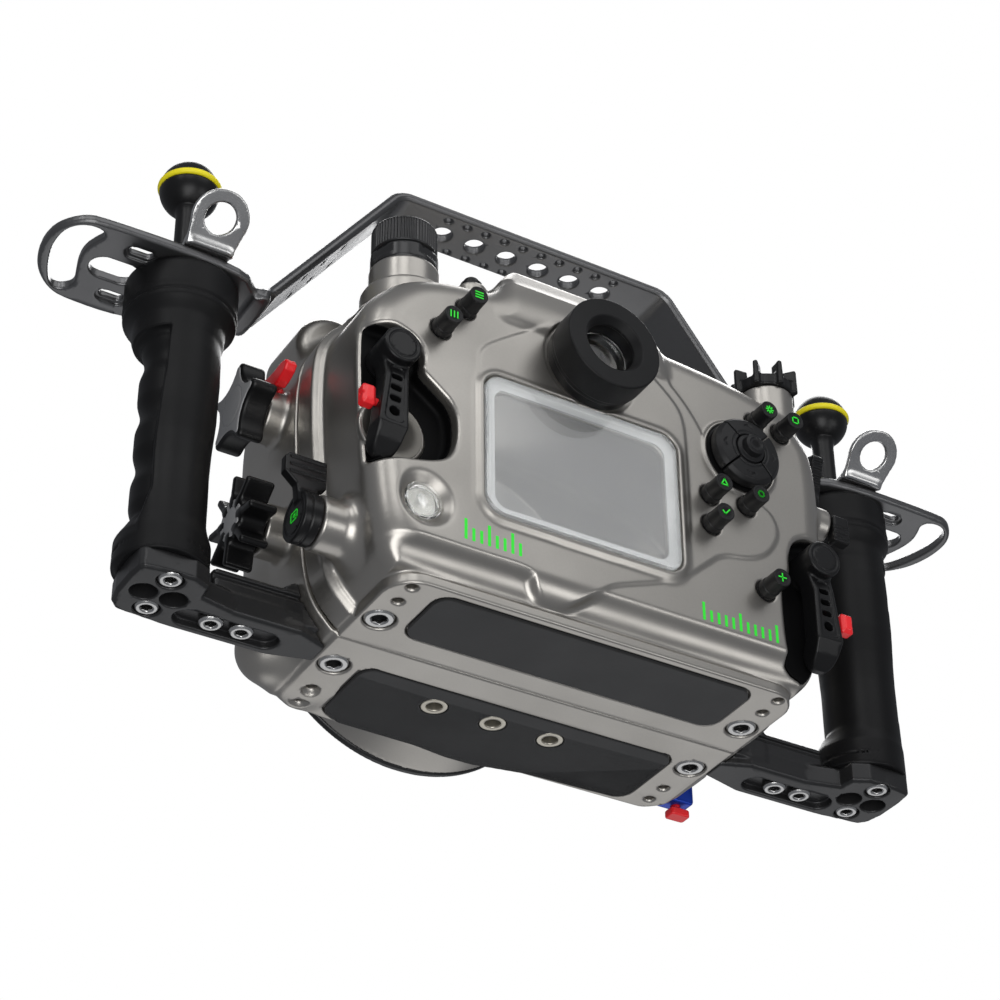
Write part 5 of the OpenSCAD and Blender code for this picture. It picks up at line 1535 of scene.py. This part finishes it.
PLUS = ([(-1.7, 0), (1.7, 0)], [(0, -1.7), (0, 1.7)])
SIGNS = (
    [[(-1.6, v), (1.6, v)] for v in (1.3, 0, -1.3)],
    [[(u, -1.4), (u, 1.4)] for u in (-1.5, 0, 1.5)],
    [*PLUS, [(-1.2, -1.2), (1.2, 1.2)], [(-1.2, 1.2), (1.2, -1.2)]],
    [[(-1.4, -1.4), (1.4, -1.4), (1.4, 1.4), (-1.4, 1.4), (-1.4, -1.4)]],
    [[(-1.5, -1.3), (1.5, -1.3), (0, 1.5), (-1.5, -1.3)]],
    [[(1.3 * math.cos(k * math.pi / 6), 1.3 * math.sin(k * math.pi / 6)) for k in range(13)]],
    [[(-1.5, 0.1), (-0.4, -1.2), (1.6, 1.3)]],
    PLUS)
PLAY = ([(-2.6, -1.9), (2.6, -1.9), (2.6, 1.9), (-2.6, 1.9), (-2.6, -1.9)],
        [(-0.9, -0.9), (-0.9, 0.9), (1.0, 0), (-0.9, -0.9)])
for k, (at, sign) in enumerate(zip(BUTTONS, SIGNS), 1):
    marks("button_sign_%d" % k, [strokes(drawn_at(at, *sign), 0.55, "Y", SIGN_FACE)], "button_%d" % k)
left_scale = [((-67 + 3.4 * k, 21), (-67 + 3.4 * k, 29 if k % 3 == 0 else 25.5)) for k in range(8)]
right_scale = [((41 + 3.5 * k, 19.5), (41 + 3.5 * k, 26.5 if k % 5 == 0 else 23.5)) for k in range(11)]
marks("scale_marks", [strokes(left_scale, 1.3, "Y", FIELD_FACE), strokes(right_scale, 1.2, "Y", REAR_FACE)],
      "rear_half")
marks("thumb_sign", [strokes(drawn_at(THUMB_AT, *PLAY), 0.5, "X", THUMB_FACE)], "thumb_lever")

# %% [markdown]
# ## Camera, light and floor
# The camera looks up from the lower left behind the housing. The floor is seen only from above, so that
# it keeps the shadow in views from above and doesn't hide the housing in views from below.

# %% Camera
CAMERA_AT = (-475.90, -785.97, -535.57)
CAMERA_RIGHT = (0.861792, -0.507187, -0.008722)
CAMERA_UP = (-0.284842, -0.498077, 0.819014)
CAMERA_BACK = (-0.419737, -0.703336, -0.573707)
LENS_MM = 95.28
camera_data = bpy.data.cameras.new("camera")
camera_data.lens = LENS_MM
camera_data.sensor_width = 36
camera_data.clip_end = 20
camera = bpy.data.objects.new("camera", camera_data)
turn = Matrix((CAMERA_RIGHT, CAMERA_UP, CAMERA_BACK)).transposed().to_4x4()
camera.matrix_world = Matrix.Translation(Vector(CAMERA_AT) * MM) @ turn
bpy.context.scene.collection.objects.link(camera)
bpy.context.scene.camera = camera

# %% Lights
CENTRE = (0, 0, 0.09)
# name, place, width, height and power
LIGHTS = [("key", (0.22, -1.05, 0.95), 0.95, 0.9, 2.9),
          ("floor_bounce", (0.75, 1.05, -1.15), 1.5, 1.5, 4.7),
          ("skirt_light", (0.8, -1.55, -0.6), 0.9, 0.6, 4.0),
          ("low_fill", (-0.75, -1.3, -0.85), 1.2, 1.2, 15.0),
          ("left_high", (-0.75, -1.25, 1.05), 0.6, 0.8, 3.5),
          ("left_strip", (-1.25, -0.72, 1.1), 0.22, 1.0, 3.0),
          ("top", (0.6, 0.8, 1.35), 1.2, 1.0, 18)]
for name, at, width, height, power in LIGHTS:
    data = bpy.data.lights.new(name, "AREA")
    data.shape = "RECTANGLE"
    data.size = width
    data.size_y = height
    data.energy = power
    light = bpy.data.objects.new(name, data)
    light.location = at
    light.rotation_euler = (Vector(CENTRE) - Vector(at)).to_track_quat("-Z", "Y").to_euler()
    bpy.context.scene.collection.objects.link(light)

# %% World and floor
ROOM_LIGHT = (0.9, 0.93, 1, 1)
ROOM_POWER = 0.22
FLOOR_SHADE = 0.93
FLOOR_HALF = 12.0


def blend(block, output, way, first, second, inputs):
    """Empty the node tree of a world or material and blend two shaders by a sum of two values."""
    block.use_nodes = True
    tree = block.node_tree
    tree.nodes.clear()
    share = add_node(tree, "Math")
    share.operation = way
    share.use_clamp = True
    mix = add_node(tree, "MixShader")
    for k, (kind, socket) in enumerate(inputs):
        wire(tree, (add_node(tree, kind).outputs[socket], share.inputs[k]))
    wire(tree, (share.outputs[0], mix.inputs[0]),
         (add_node(tree, first[0], **first[1]).outputs[0], mix.inputs[1]),
         (add_node(tree, second[0], **second[1]).outputs[0], mix.inputs[2]),
         (mix.outputs[0], add_node(tree, output).inputs[0]))


world = bpy.data.worlds.new("studio")
bpy.context.scene.world = world
blend(world, "OutputWorld", "MAXIMUM", ("Background", {"Color": ROOM_LIGHT, "Strength": ROOM_POWER}),
      ("Background", {"Color": (1, 1, 1, 1), "Strength": 1.0}),
      (("LightPath", "Is Camera Ray"), ("LightPath", "Is Transmission Ray")))
bpy.context.scene.view_settings.view_transform = "Standard"
corners = [(-FLOOR_HALF, -FLOOR_HALF, 0), (FLOOR_HALF, -FLOOR_HALF, 0), (FLOOR_HALF, FLOOR_HALF, 0),
           (-FLOOR_HALF, FLOOR_HALF, 0)]
floor = mesh_object("floor", corners, [(0, 1, 2, 3)], flat=True)
paint = bpy.data.materials.new("floor_paint")
blend(paint, "OutputMaterial", "SUBTRACT", ("BsdfTransparent", {}),
      ("BsdfDiffuse", {"Color": (FLOOR_SHADE, FLOOR_SHADE, FLOOR_SHADE, 1)}),
      (("LightPath", "Is Camera Ray"), ("NewGeometry", "Backfacing")))
floor.data.materials.append(paint)
